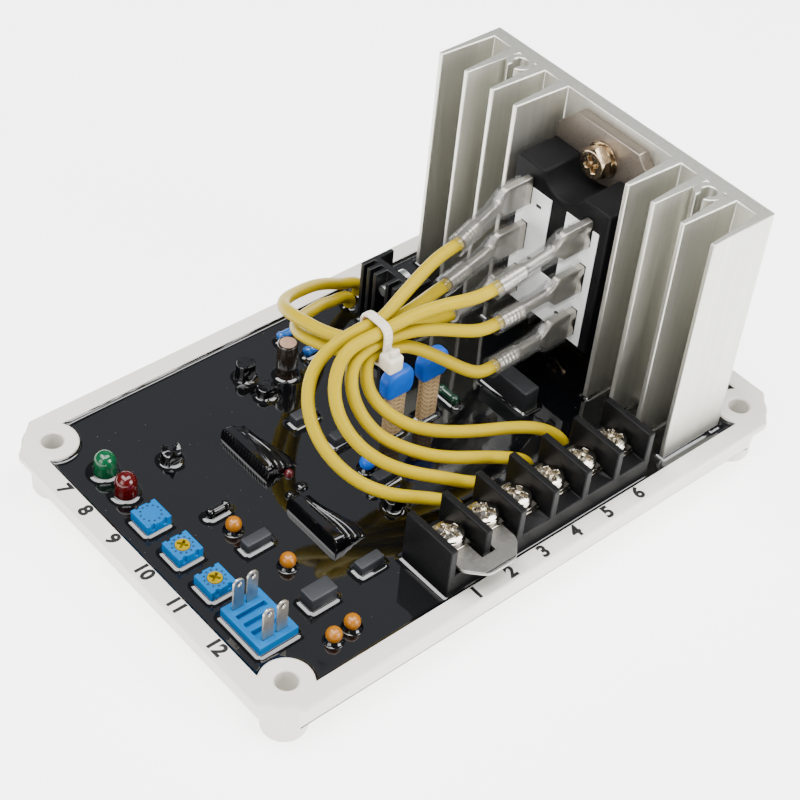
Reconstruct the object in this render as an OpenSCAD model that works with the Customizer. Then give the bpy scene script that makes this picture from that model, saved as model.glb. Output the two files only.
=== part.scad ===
// Automatic voltage regulator of a generator: a shallow potted tray that carries a finned heat sink
// with a rectifier module, a screw terminal block, adjusters and a tied bundle of leads.
// Millimetres, +Z up, origin under the tray's centre at the level of its feet.

/* [Tray] */
// Length over the rim
tray_length = 152.5; // [150:0.5:165]
// Width over the rim
tray_width = 100.4; // [98:0.2:110]
// Height from the feet to the top of the rim
tray_height = 14; // [13.4:0.1:18]
// Width of the rim's top face
rim_width = 4.6; // [4:0.1:5.5]
// Thickness of the rim
rim_thickness = 2; // [1.5:0.1:2.6]
// How far the rim stands out past the tub's wall
rim_overhang = 2.7; // [2:0.1:3]
// Cut across each corner of the rim
corner_cut = 7.6; // [6:0.1:9]
// Cut across each corner of the tub under the rim
tub_cut = 5.4; // [4:0.1:6]
// Height of the feet under the tub
foot_height = 4; // [3.6:0.1:4.6]
// Diameter of the feet
foot_diameter = 10.2; // [9:0.1:11]
// Thickness of the tub's floor
floor_thickness = 2; // [1.5:0.1:2.4]
// Diameter of the round land inside the tub at each mounting hole
land_diameter = 12; // [11.4:0.1:13]
// Diameter of the round ear of the rim at each mounting hole
ear_diameter = 13.6; // [13:0.1:15]

/* [Mounting holes] */
// Spacing along the length
mount_spacing_x = 135.5; // [134:0.5:138]
// Spacing across the width
mount_spacing_y = 84; // [83:0.5:86]
// Diameter of the holes
mount_hole = 5; // [4.2:0.1:5.6]

/* [Potting and circuit board] */
// How far the resin lies below the rim's top
resin_drop = 1.2; // [0.6:0.1:1.6]
// Thickness of the circuit board
board_thickness = 1.6; // [1:0.1:2]
// Height of the posts under the circuit board
board_lift = 1.2; // [0.8:0.1:1.5]
// Gap round the circuit board
board_gap = 1; // [0.5:0.1:1.5]
// Diameter of the posts
post_diameter = 5; // [3:0.5:7]

/* [Heat sink] */
// Gap from the outer fins to the tub's side walls
sink_side_gap = 2.6; // [1.8:0.1:3.6]
// Depth from the fins' tips to the back
sink_depth = 19; // [17.5:0.5:21]
// Height from the tub's floor
sink_height = 69.3; // [66:0.1:80]
// Thickness of the back plate
sink_plate = 3.6; // [3:0.1:4.5]
// Gap from the back plate to the tub's end wall
sink_wall_gap = 12; // [8:0.5:14]
// Width of the middle channel
channel_width = 32.2; // [31.4:0.2:34]
// Thickness of a fin at its root
fin_root = 2.9; // [2.2:0.1:3.2]
// Thickness of a fin at its tip
fin_tip = 1.2; // [0.8:0.1:1.6]
// Pitch from the first fin to the second
fin_pitch = 7.6; // [7:0.1:8]
// Pitch across the screw port, from the second fin to the third
port_pitch = 8.6; // [8:0.1:9]
// Root thickness of the outer fins
outer_root = 2.2; // [1.8:0.1:2.6]
// Bore of the screw ports
port_bore = 3.4; // [3:0.1:3.8]
// Wall round the screw ports
port_wall = 1.6; // [1.4:0.1:2]
// Distance of the ports' centre from the plate
port_stand = 2.4; // [2:0.1:3]
// Slot that opens each port
port_slot = 1.8; // [1:0.1:2.4]
// Length of the screws that hold the heat sink from below
sink_screw_length = 16; // [10:0.5:24]
// Head diameter of those screws
sink_screw_head = 7; // [6:0.1:8]
// Head height of those screws
sink_screw_head_height = 2.4; // [1.6:0.1:2.8]

/* [Rectifier module] */
// Width of the base plate and the case
module_width = 29.6; // [28:0.2:30.6]
// Height of the base plate
module_height = 58; // [56:0.5:59]
// Gap from the resin to the base plate
module_lift = 2.2; // [1:0.1:3]
// Thickness of the base plate
base_thickness = 3; // [2:0.1:3.6]
// Cut across the base plate's corners
base_cut = 5.2; // [3:0.1:6]
// Depth of the case in front of the base plate
case_depth = 12; // [10:0.5:13]
// Height of the case
case_height = 40; // [38:0.5:42]
// Spacing of the two screws
module_screw_spacing = 44; // [42:0.5:48]
// Radius of the recess round each screw
screw_recess = 6.4; // [5.6:0.1:7]
// Thread diameter of the screws
module_screw = 4; // [3.5:0.1:4.4]
// Width across the hexagon's flats
hex_flats = 7; // [6:0.1:8]
// Height of the hexagon
hex_height = 3; // [2:0.1:3.5]
// Diameter of the screw's flange
flange_diameter = 9; // [8.4:0.1:10]
// Thickness of the flange
flange_thickness = 0.8; // [0.5:0.1:1.2]
// Thickness of the label
label_thickness = 0.2; // [0.1:0.05:0.3]
// Width of the label
label_width = 25; // [23:0.5:27]
// Height of the label
label_height = 33; // [31:0.5:36]
// Width of the label's middle slot
label_slot = 4.8; // [2:0.1:6]

/* [Spade terminals] */
// Width of a tab
tab_width = 6.3; // [5.8:0.1:6.6]
// Thickness of a tab
tab_thickness = 0.8; // [0.5:0.1:1]
// Length of a tab
tab_length = 8; // [6.5:0.1:8.4]
// Distance between the two columns of tabs
tab_columns = 19.2; // [17:0.2:20]
// Distance between the rows of tabs
tab_rows = 13; // [11.5:0.1:13.5]
// Gap from the case to the mouth of a receptacle
spade_gap = 0.5; // [0.4:0.1:1]
// Length of a receptacle's box
spade_box = 8.6; // [8.4:0.1:9.6]
// Sheet thickness of a receptacle
spade_sheet = 0.6; // [0.4:0.05:0.8]
// Fit of a receptacle over its tab
spade_fit = 0.1; // [0.05:0.05:0.2]
// Diameter of the crimp barrel
barrel_diameter = 3.9; // [3.4:0.1:4.2]
// Length of the flat neck before the barrel
neck_length = 6; // [4:0.5:8]
// Wall of the clear sleeves
sleeve_wall = 0.5; // [0.3:0.05:0.8]
// Fit of the sleeves over the receptacles
sleeve_fit = 0.1; // [0.05:0.05:0.2]
// How much of a receptacle's mouth a sleeve leaves bare
sleeve_bare = 2.4; // [0:0.1:4]
// How far a sleeve covers the lead
sleeve_over = 2; // [0.5:0.1:3]

/* [Leads and tie] */
// Diameter of a lead over its insulation
lead_diameter = 2.9; // [2.2:0.1:3]
// Diameter of the pins on which the leads end
pin_diameter = 1.4; // [1:0.1:2]
// Width of the cable tie's strap
tie_width = 2.5; // [2:0.1:4]
// Thickness of the strap
tie_thickness = 1.1; // [0.8:0.1:1.4]
// Length of the tie's head
tie_head = 4.6; // [4:0.1:6]

/* [Terminal block] */
// Number of poles
pole_count = 6; // [4:1:7]
// Pitch of the poles
pole_pitch = 9.8; // [9.4:0.1:10]
// Thickness of a barrier
barrier_thickness = 1.8; // [1.4:0.1:2]
// Height of the barriers above the rim
barrier_rise = 13; // [11.5:0.1:15]
// Height of the poles' floor above the rim
pole_rise = 5; // [3.5:0.1:6]
// Depth of the block
block_depth = 14.5; // [14:0.1:15]
// Gap from the block to the tub's side wall
block_wall_gap = 0.9; // [0.5:0.1:1.5]
// Middle of the block along the tray
block_x = 3.1; // [0:0.1:4]
// Distance of the screws from the block's front
pole_screw_y = 7; // [6.4:0.1:7.5]
// Thickness of the contact plates
plate_thickness = 1; // [0.6:0.1:1.2]
// Gap beside the contact plates
plate_gap = 0.2; // [0.1:0.05:0.4]
// Side of the square clamp washers
washer_side = 6.8; // [6.2:0.1:7]
// Thickness of the clamp washers
washer_thickness = 1; // [0.6:0.1:1.2]
// Diameter of the screws' thread
pole_screw = 3.5; // [3:0.1:4]
// Diameter of the screws' head
pole_head = 7; // [6.4:0.1:7.2]
// Height of the screws' head
pole_head_height = 2.8; // [2:0.1:3]
// Depth of the screws in the block
pole_screw_depth = 6; // [4:0.5:7]
// Thickness of the shorting link
link_thickness = 0.8; // [0.5:0.1:1]
// Width of the link's legs and bridge
link_width = 6; // [5.4:0.1:6.4]
// How far the link's bridge stands out in front of the block
link_reach = 4.6; // [4:0.1:6]

/* [Adjusters and lamps] */
// Distance of the adjusters' centres from the tub's end wall
adjuster_inset = 7.7; // [7:0.1:9]
// Side of a trimmer
trimmer_side = 6.3; // [6:0.1:7]
// Height of the trimmers above the rim
trimmer_rise = 1.8; // [1.4:0.1:3]
// Place of the first trimmer across the tray
trimmer_first_y = 9.7; // [8:0.1:11]
// Distance from one trimmer to the next
trimmer_pitch = 11.4; // [9:0.1:12]
// Diameter of a rotor
rotor_diameter = 3.3; // [3:0.1:4]
// Depth of the rotor's seat
rotor_seat = 1.2; // [0.8:0.1:1.4]
// Running clearance round a rotor
rotor_fit = 0.05; // [0.03:0.01:0.1]
// Diameter of the lamps
lamp_diameter = 5; // [4.6:0.1:5.4]
// Height of a lamp
lamp_height = 8.6; // [8:0.1:9.4]
// Height of the lamps above the circuit board
lamp_lift = 1.4; // [0.5:0.1:2]
// Place of the first lamp across the tray
lamp_first_y = 28; // [26.5:0.1:30]
// Distance from one lamp to the next
lamp_pitch = 8; // [6.5:0.1:9]
// Distance of the lamps' centres from the tub's end wall
lamp_inset = 8.4; // [7:0.1:9]

/* [Frequency selector] */
// Length of the block along the tray
selector_length = 10; // [9:0.1:11]
// Width of the block
selector_width = 13.4; // [12.8:0.1:14]
// Place of the block across the tray
selector_y = -26.9; // [-28:0.1:-26]
// Distance of its centre from the tub's end wall
selector_inset = 8.7; // [8:0.1:10]
// Height of the block above the rim
selector_rise = 1.5; // [1:0.1:3]
// Width of a selector tab
selector_tab_width = 2.8; // [2.4:0.1:3]
// Thickness of a selector tab
selector_tab_thickness = 0.5; // [0.4:0.05:0.8]
// Height of the tabs above the block
selector_tab_height = 8.6; // [6:0.1:9.6]
// Distance between the two rows of tabs
selector_tab_rows = 9.9; // [9.6:0.1:10.6]
// Distance between the tabs of a row
selector_tab_pitch = 3.6; // [3.4:0.1:5.4]

/* [Board components] */
// Diameter of the bead capacitors
bead_diameter = 3.6; // [3:0.1:4.4]
// Diameter of the standing electrolytic capacitor
can_diameter = 5; // [4:0.1:6]
// Height of the electrolytic capacitor above the resin
can_height = 10.2; // [8:0.1:12]
// Diameter of the small transistors
transistor_diameter = 4.6; // [4:0.1:5]
// Diameter of the resistors
resistor_diameter = 2.6; // [2:0.1:3]
// Length of the resistors
resistor_length = 6.4; // [5:0.1:7]
// Length of the two resin-coated blocks
coated_length = 17; // [15:0.5:18]
// Width of the resin-coated blocks
coated_width = 6.4; // [5:0.1:7]
// Height of the resin-coated blocks
coated_height = 3.6; // [2.5:0.1:5]
// Diameter of the varistors
varistor_diameter = 9; // [8:0.1:9.6]
// Thickness of the varistors
varistor_thickness = 3.6; // [3:0.1:4.5]
// Height of the woven sleeves under the varistors
woven_height = 12.6; // [9:0.1:13.4]
// Width of the woven sleeves
woven_width = 5.6; // [4.6:0.1:6]
// Thickness of the woven sleeves
woven_thickness = 2.2; // [1.8:0.1:3]

/* [Small heat sink] */
// Height above the resin
cooler_height = 17.2; // [16:0.1:20]
// Inner width between its side walls
cooler_inner = 12.4; // [10.2:0.1:14]
// Thickness of its walls
cooler_wall = 1.1; // [0.8:0.1:1.6]
// Depth of its side walls
cooler_depth = 9.4; // [8:0.1:11]
// Reach of its fins from the web
cooler_fin = 3.4; // [2.5:0.1:4.4]
// Width of the power transistor
power_width = 10; // [9.4:0.1:10.2]
// Screw diameter of the power transistor
power_screw = 3; // [2.5:0.1:3.2]

/* [Hidden] */
$fn = 48;

// Extra length of a cut past the face it opens
past = 1;
// Radial clearance of a screw's shank in its hole
screw_fit = 0.05;
// Gap between a lead's end and the barrel that holds it
lead_gap = 0.3;

// Levels
rim_top = tray_height;
rim_low = rim_top - rim_thickness;
floor_top = foot_height + floor_thickness;
resin_top = rim_top - resin_drop;
board_low = floor_top + board_lift;
board_top = board_low + board_thickness;

// Tub
cavity_length = tray_length - 2 * rim_width;
cavity_width = tray_width - 2 * rim_width;
tub_length = tray_length - 2 * rim_overhang;
tub_width = tray_width - 2 * rim_overhang;

// Heat sink
sink_back = cavity_length / 2 - sink_wall_gap;
sink_width = cavity_width - 2 * sink_side_gap;
sink_tip = sink_back - sink_depth;
sink_face = sink_back - sink_plate;
sink_top = floor_top + sink_height;
fin_1 = (channel_width + fin_root) / 2;
fin_2 = fin_1 + fin_pitch;
fin_3 = fin_2 + port_pitch;
port_x = sink_face - port_stand;
port_y = (fin_2 + fin_3) / 2;
sink_hole = 4.4;

// Circuit board, from the adjusters' end to the heat sink
board_start = -cavity_length / 2 + board_gap;
board_end = sink_tip - board_gap;
post_inset = 9;

// Rectifier module
module_middle = resin_top + module_lift + module_height / 2;
base_face = sink_face - base_thickness;
case_face = base_face - case_depth;
label_over = 1;
label_top = module_middle + tab_rows + label_over;
hole_slack = 0.25;

// Spade receptacles: upper, middle and lower row, first the +Y and then the -Y column
spade_roots = [
    for (side = [1, -1], row = [1, 0, -1])
        [case_face, side * tab_columns / 2, module_middle + row * tab_rows]
];
// Where each crimp barrel ends, seen from the root of its tab
spade_reach = [
    [-25.5, -4.4, -1.2], [-25.5, -2.2, -1.4], [-25.5, -4.8, 4.4],
    [-25.5, 1.2, -4], [-25.5, -0.4, -0.2], [-25.5, -1, 0.4]
];
spade_height = tab_width + 2 * (spade_fit + spade_sheet);
spade_depth = tab_thickness + 2 * (spade_fit + spade_sheet);
spade_end = spade_gap + spade_box;
pivot_back = spade_end - spade_sheet;
spade_last = len(spade_roots) - 1;
spade_barrels = [for (i = [0:spade_last]) spade_roots[i] + spade_reach[i]];
spade_pivots = [for (p = spade_roots) p - [pivot_back, 0, 0]];
neck_height = 3;
neck_thickness = 1.6;

// Tie: the six leads pass it in three rows of two
tie_x = -12;
tie_z = 45.9;
tie_row = 3.1;
tie_column = 3.2;
tie_clear = 0.3;
tie_inner_y = tie_column / 2 + lead_diameter / 2 + tie_clear;
tie_inner_z = tie_row + lead_diameter / 2 + tie_clear;
tie_round = lead_diameter / 2 + tie_clear;

// Routes of the leads after the barrels, in millimetres
field_1 = [
    [9, 4.6, 55.2], [2, 3.4, 53.4], [-5, 2.2, 50.6], [-9.5, 1.6, 49], [-14.5, 1.6, 49],
    [-20, 2.6, 47.2], [-25.6, 3, 43.2], [-29.4, 0.8, 38.2], [-31, -3.4, 32.8], [-30.2, -9.2, 27.6],
    [-27.4, -15.4, 24], [-22.4, -21, 21.8], [-16, -25.2, 20.2], [-11, -27.4, 17.6],
    [-9, -27.8, 15], [-9, -27.8, 12.8]
];
field_2 = [
    [10.5, -7.8, 52.2], [3, -4.8, 51.2], [-4, -2.4, 49.8], [-9.5, -1.6, 49], [-14.5, -1.6, 49],
    [-20.5, -1.2, 47.8], [-25, -2.6, 43], [-26.6, -5.8, 37.4], [-25.4, -10.2, 31.6],
    [-22, -14.8, 27.2], [-16.8, -19.6, 24.2], [-10.4, -24, 22], [-4.2, -26.8, 19.2],
    [0.5, -27.8, 15.4], [0.5, -27.8, 12.8]
];
field_3 = [
    [10.5, -9.8, 44], [3, -6.2, 45.2], [-4, -2.8, 45.9], [-9.5, -1.6, 45.9], [-15.4, -1.6, 45.9],
    [-19, -1.9, 44.3], [-21.4, -4.1, 39.5], [-21, -7.2, 34.2], [-19, -10.8, 30],
    [-15, -14.8, 26.8], [-8.6, -19.8, 24.2], [-0.6, -23.8, 22.4], [7, -26.4, 19.8],
    [12, -27.8, 15.6], [12, -27.8, 12.8]
];
field_4 = [
    [11, -10.6, 31.8], [5.4, -7.8, 34.8], [-0.6, -4, 39.2], [-5.4, -2.2, 41.8], [-9.5, -1.6, 42.8],
    [-14.8, -1.6, 42.8], [-16.3, -2.7, 40.2], [-16.6, -4.9, 36.3], [-14.8, -8.4, 32.4],
    [-11, -12.4, 29.2], [-3.2, -17, 26.4], [6.4, -20.2, 24], [15.6, -23, 21.6],
    [21.4, -26, 18.6], [23.5, -27.6, 15.4], [23.5, -27.6, 12.8]
];
gate_1 = [
    [10.5, 6.6, 42.7], [1, 3.2, 45.4], [-9.5, 1.6, 45.9], [-14.8, 1.6, 45.9], [-17.2, 5.2, 45.2],
    [-18.6, 10, 44.4], [-19, 15, 43.4], [-18.4, 20.6, 41.6], [-16, 26.2, 38.8], [-11, 31, 35.2],
    [-4, 35, 31], [4, 38.6, 26.4], [11, 41, 21.8], [17, 42.2, 18.2], [21, 42.4, 15.6],
    [21, 42.4, 12.8]
];
gate_2 = [
    [9, 4.2, 37.2], [0, 2.4, 41], [-9.5, 1.6, 42.8], [-14.8, 1.6, 42.8], [-17, 4.9, 41.6],
    [-18.4, 10, 40.4], [-18.6, 15.2, 38.8], [-16.6, 20.6, 36.2], [-11.4, 26, 32.4], [-3.6, 31, 27.6],
    [4, 35.4, 22.8], [10, 38.6, 18.6], [14.6, 39.8, 16.6], [16.4, 40, 15], [16.4, 40, 12.8]
];
lead_sides = 8;
lead_ends = [for (r = [field_1, field_2, field_3, field_4, gate_1, gate_2]) r[len(r) - 1]];

// Terminal block
block_length = pole_count * pole_pitch + barrier_thickness;
block_front = -cavity_width / 2 + block_wall_gap;
pole_floor = rim_top + pole_rise;
barrier_top = rim_top + barrier_rise;
pole_y = block_front + pole_screw_y;
plate_width = pole_pitch - barrier_thickness - 2 * plate_gap;
plate_back_gap = 1.6;
plate_front_gap = 3.4;
plate_depth = block_depth - plate_back_gap - plate_front_gap;
plate_top = pole_floor + plate_thickness;
linked_poles = 2;
link_gap = 0.5;
link_cut = 4.2;
cross_length = 4.4;
cross_width = 0.9;
cross_depth = 1.2;

// Adjusters, lamps and selector
adjuster_x = -cavity_length / 2 + adjuster_inset;
trimmer_top = rim_top + trimmer_rise;
trimmer_notch = 0.9;
trimmer_y = [for (i = [0:2]) trimmer_first_y - i * trimmer_pitch];
rotor_rise = 0.3;
rotor_slot_length = 2.3;
rotor_slot_width = 0.6;
rotor_slot_depth = 0.7;
lamp_x = -cavity_length / 2 + lamp_inset;
lamp_y = [for (i = [0, 1]) lamp_first_y - i * lamp_pitch];
lamp_collar = 0.4;
lamp_collar_height = 1;
lamp_low = board_top + lamp_lift;
selector_x = -cavity_length / 2 + selector_inset;
selector_top = rim_top + selector_rise;
selector_slot = 1.3;
selector_slot_depth = 1.6;
selector_slots = 3;
selector_slot_pitch = 2.6;
selector_seat = 2;
selector_eye = 0.6;

// Places of the board's components on the resin: from the adjusters' end, the middle or the heat sink's
// end along the tray, and from its middle, a side wall or the terminal block across it
near_x = -cavity_length / 2;
far_x = sink_tip;
left_y = cavity_width / 2;
right_y = -cavity_width / 2;
block_back = block_front + block_depth;
bead_places = [
    [near_x + 20.6, -2.5], [near_x + 23.6, -17.5],
    [near_x + 18.6, right_y + 6.6], [near_x + 23.8, right_y + 7]
];
blue_bead_place = [-15.8, -5.2];
film_places = [
    [near_x + 21.8, -8.8], [near_x + 37.2, block_back + 2.2], [-14.8, -10.4], [-17.6, 15.2], [-14.6, 5]
];
film_size = [6.6, 2.8, 2.8];
box_place = [near_x + 22.8, -28.8];
box_size = [7, 4.2, 4];
can_place = [-11.4, left_y - 16.2];
can_bevel = 0.4;
transistor_places = [
    [near_x + 22.3, 22.4, 3.2], [-19.6, left_y - 11.2, 4.6], [-19.2, left_y - 18.6, 2.6], [-18.4, -17.6, 2.6]
];
transistor_flat = 1.6;
coated_places = [[-33, 13.2], [-34.4, -12.4]];
coated_lip = 1;
diode_place = [near_x + 20.8, 3.4];
diode_diameter = 2.2;
diode_length = 6;
blue_resistor_places = [[-3, left_y - 6.2], [-1.2, left_y - 14]];
green_resistor_place = [13.9, 0.8];
leg_diameter = 0.8;
varistor_places = [[-4.1, 0.1], [6.2, 0]];
varistor_sink = 1;
relay_place = [far_x - 13.6, -5.9];
relay_size = [4.7, 14.6, 6.2];
cooler_place = [far_x - 21.3, left_y - 17.3];
cooler_web = 1.6;
cooler_side_shift = 0.5;
cooler_fin_pitch = 2.3;
power_thickness = 4.4;
power_leg_pitch = 2.54;
power_tab = 1.3;
power_rise = 1;
power_body_height = 9;
power_tab_height = 6;
power_hole_height = 3;
power_head = 5.4;
power_head_height = 2;
power_screw_end = 2.6;

function cut_rectangle(l, w, c) = [
    [l / 2 - c, w / 2], [c - l / 2, w / 2], [-l / 2, w / 2 - c], [-l / 2, c - w / 2],
    [c - l / 2, -w / 2], [l / 2 - c, -w / 2], [l / 2, c - w / 2], [l / 2, w / 2 - c]
];
function unit(v) = v / norm(v);
function pole_x(i) = block_x + (i - (pole_count - 1) / 2) * pole_pitch;
function barrel_reach(i) = norm(spade_barrels[i] - spade_pivots[i]);
function link_under(i) = i < linked_poles ? link_thickness : 0;

// Places the children at the four mounting holes
module at_mounts() {
    for (sx = [-1, 1], sy = [-1, 1])
        translate([sx * mount_spacing_x / 2, sy * mount_spacing_y / 2, 0]) children();
}

// A box that is centred on X and Y
module centred_box(size) {
    translate([-size.x / 2, -size.y / 2, 0]) cube(size);
}

// Puts the children's +Z axis on the line from p to q
module aim(p, q) {
    d = q - p;
    translate(p) rotate([0, acos(d.z / norm(d)), atan2(d.y, d.x)]) children();
}

// The tub's hollow between two levels, round the lands of the mounting holes
module hollow(low, high) {
    difference() {
        translate([0, 0, low]) centred_box([cavity_length, cavity_width, high - low]);
        at_mounts() translate([0, 0, low - past]) cylinder(d = land_diameter, h = high - low + 2 * past);
    }
}

// The posts that carry the circuit board
module board_posts() {
    for (x = [board_start + post_inset, board_end - post_inset], sy = [-1, 1])
        translate([x, sy * (cavity_width / 2 - post_inset), floor_top])
            cylinder(d = post_diameter, h = board_lift);
}

// Places the children at the two screw ports of the heat sink
module at_ports() {
    for (s = [-1, 1]) translate([port_x, s * port_y, 0]) children();
}

module tray() {
    color("#e9e7e1") union() {
        difference() {
            union() {
                translate([0, 0, rim_low]) linear_extrude(rim_thickness)
                    polygon(cut_rectangle(tray_length, tray_width, corner_cut));
                translate([0, 0, rim_low]) at_mounts() cylinder(d = ear_diameter, h = rim_thickness);
                translate([0, 0, foot_height]) linear_extrude(rim_top - foot_height - rim_thickness / 2)
                    polygon(cut_rectangle(tub_length, tub_width, tub_cut));
                at_mounts() cylinder(d = foot_diameter, h = rim_low + rim_thickness / 2);
            }
            hollow(floor_top, rim_top + past);
            at_mounts() translate([0, 0, -past]) cylinder(d = mount_hole, h = rim_top + 2 * past);
            at_ports() cylinder(d = port_bore + 2 * hole_slack, h = floor_top + past);
        }
        board_posts();
    }
}

module circuit_board() {
    color("#2c5a3c") difference() {
        translate([board_start, board_gap - cavity_width / 2, board_low])
            cube([board_end - board_start, cavity_width - 2 * board_gap, board_thickness]);
        at_mounts() translate([0, 0, board_low - past])
            cylinder(d = land_diameter + 2 * board_gap, h = board_thickness + 2 * past);
    }
}

module potting_resin() {
    color("#15161b") difference() {
        hollow(floor_top, resin_top);
        board_posts();
        circuit_board();
        heat_sink();
        at_ports() cylinder(d = port_bore, h = rim_top);
        terminal_body();
        lead_pins();
        for (y = lamp_y) lamp(y);
        for (y = trimmer_y) trimmer_block(y);
        selector_body();
    }
}

// One tapered fin that points to -X
module fin(y) {
    linear_extrude(sink_height) polygon([
        [sink_face + sink_plate / 2, y - fin_root / 2], [sink_face, y - fin_root / 2],
        [sink_tip, y - fin_tip / 2], [sink_tip, y + fin_tip / 2],
        [sink_face, y + fin_root / 2], [sink_face + sink_plate / 2, y + fin_root / 2]
    ]);
}

// The outer fin, flat on its outer side
module outer_fin() {
    linear_extrude(sink_height) polygon([
        [sink_face + sink_plate / 2, sink_width / 2 - outer_root], [sink_face, sink_width / 2 - outer_root],
        [sink_tip, sink_width / 2 - fin_tip], [sink_tip, sink_width / 2],
        [sink_face + sink_plate / 2, sink_width / 2]
    ]);
}

// Places the children on the two screw holes of the module, with +Z to the front
module at_module_screws(x) {
    for (s = [-1, 1])
        translate([x, 0, module_middle + s * module_screw_spacing / 2]) rotate([0, -90, 0]) children();
}

module heat_sink() {
    color("#c3c6c8") translate([0, 0, floor_top]) difference() {
        union() {
            translate([sink_face, -sink_width / 2, 0]) cube([sink_plate, sink_width, sink_height]);
            for (s = [0, 1]) mirror([0, s, 0]) {
                fin(fin_1);
                fin(fin_2);
                fin(fin_3);
                outer_fin();
                translate([port_x, port_y, 0]) cylinder(d = port_bore + 2 * port_wall, h = sink_height);
            }
        }
        at_ports() translate([0, 0, -past]) cylinder(d = port_bore, h = sink_height + 2 * past);
        at_ports() translate([-port_bore / 2 - port_wall - past, -port_slot / 2, -past])
            cube([port_bore / 2 + port_wall + past, port_slot, sink_height + 2 * past]);
        translate([0, 0, -floor_top]) at_module_screws(sink_back + past)
            cylinder(d = module_screw, h = sink_plate + 2 * past);
    }
}

module heat_sink_screws() {
    color("#a9a9a6") at_ports() {
        translate([0, 0, foot_height - sink_screw_head_height])
            cylinder(d = sink_screw_head, h = sink_screw_head_height);
        translate([0, 0, foot_height - sink_screw_head_height / 2])
            cylinder(d = port_bore - 2 * screw_fit, h = sink_screw_length + sink_screw_head_height / 2);
    }
}

module module_base() {
    color("#8b8078") difference() {
        translate([base_face, 0, module_middle]) rotate([90, 0, 90]) linear_extrude(base_thickness)
            polygon(cut_rectangle(module_width, module_height, base_cut));
        at_module_screws(sink_face + past) cylinder(d = sink_hole, h = base_thickness + 2 * past);
    }
}

module module_case() {
    color("#24252a") difference() {
        translate([case_face, -module_width / 2, module_middle - case_height / 2])
            cube([case_depth, module_width, case_height]);
        at_module_screws(base_face + past) cylinder(r = screw_recess, h = case_depth + 2 * past);
    }
}

module module_label() {
    color("#e8e8e6") difference() {
        translate([case_face - label_thickness, -label_width / 2, label_top - label_height])
            cube([label_thickness, label_width, label_height]);
        translate([case_face - label_thickness - past, -label_slot / 2, module_middle - tab_rows / 2])
            cube([label_thickness + 2 * past, label_slot, label_height]);
        for (p = spade_roots) translate(p) translate([-label_thickness - past, 0, 0])
            translate([0, -spade_depth / 2, -spade_height / 2])
                cube([label_thickness + 2 * past, spade_depth, spade_height]);
    }
}

module module_tabs() {
    color("#b9b9b4") for (p = spade_roots) translate(p - [tab_length, tab_thickness / 2, tab_width / 2])
        cube([tab_length, tab_thickness, tab_width]);
}

module module_screws() {
    color("#b6aea2") at_module_screws(base_face) {
        translate([0, 0, -base_thickness - sink_plate + screw_fit])
            cylinder(d = module_screw - 2 * screw_fit, h = base_thickness + sink_plate);
        cylinder(d = flange_diameter, h = flange_thickness);
        difference() {
            cylinder(d = hex_flats / cos(30), h = flange_thickness + hex_height, $fn = 6);
            translate([0, 0, flange_thickness + hex_height - cross_depth])
                cross(cross_length, cross_depth + past);
        }
    }
}

// A cross recess
module cross(length, depth) {
    centred_box([length, cross_width, depth]);
    centred_box([cross_width, length, depth]);
}

// One receptacle: a box over the tab, a flat neck and a round crimp barrel
module receptacle(i) {
    difference() {
        union() {
            translate(spade_roots[i] - [spade_end, spade_depth / 2, spade_height / 2])
                cube([spade_box, spade_depth, spade_height]);
            aim(spade_pivots[i], spade_barrels[i]) {
                centred_box([neck_height, neck_thickness, neck_length + past]);
                translate([0, 0, neck_length])
                    cylinder(d = barrel_diameter, h = barrel_reach(i) - neck_length);
            }
        }
        translate(spade_roots[i] - [pivot_back, tab_thickness / 2 + spade_fit, tab_width / 2 + spade_fit])
            cube([pivot_back, tab_thickness + 2 * spade_fit, tab_width + 2 * spade_fit]);
    }
}

module spade_receptacles() {
    color("#b5b3ad") for (i = [0:spade_last]) receptacle(i);
}

// The clear sleeve of one receptacle: a box and a tube with one hollow through both
module clear_sleeve(i) {
    over = sleeve_fit + sleeve_wall;
    tube_reach = barrel_reach(i) + sleeve_over;
    difference() {
        union() {
            translate(spade_roots[i] - [spade_end + over, spade_depth / 2 + over, spade_height / 2 + over])
                cube([spade_box - sleeve_bare + over, spade_depth + 2 * over, spade_height + 2 * over]);
            aim(spade_pivots[i], spade_barrels[i]) cylinder(d = barrel_diameter + 2 * over, h = tube_reach);
        }
        translate(spade_roots[i] - [spade_end + sleeve_fit, spade_depth / 2 + sleeve_fit,
                                    spade_height / 2 + sleeve_fit])
            cube([spade_box + sleeve_fit + past, spade_depth + 2 * sleeve_fit,
                  spade_height + 2 * sleeve_fit]);
        aim(spade_pivots[i], spade_barrels[i])
            cylinder(d = barrel_diameter + 2 * sleeve_fit, h = tube_reach + past);
    }
}

module spade_sleeves() {
    color([0.86, 0.88, 0.9, 0.35]) for (i = [0:spade_last]) clear_sleeve(i);
}

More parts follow.
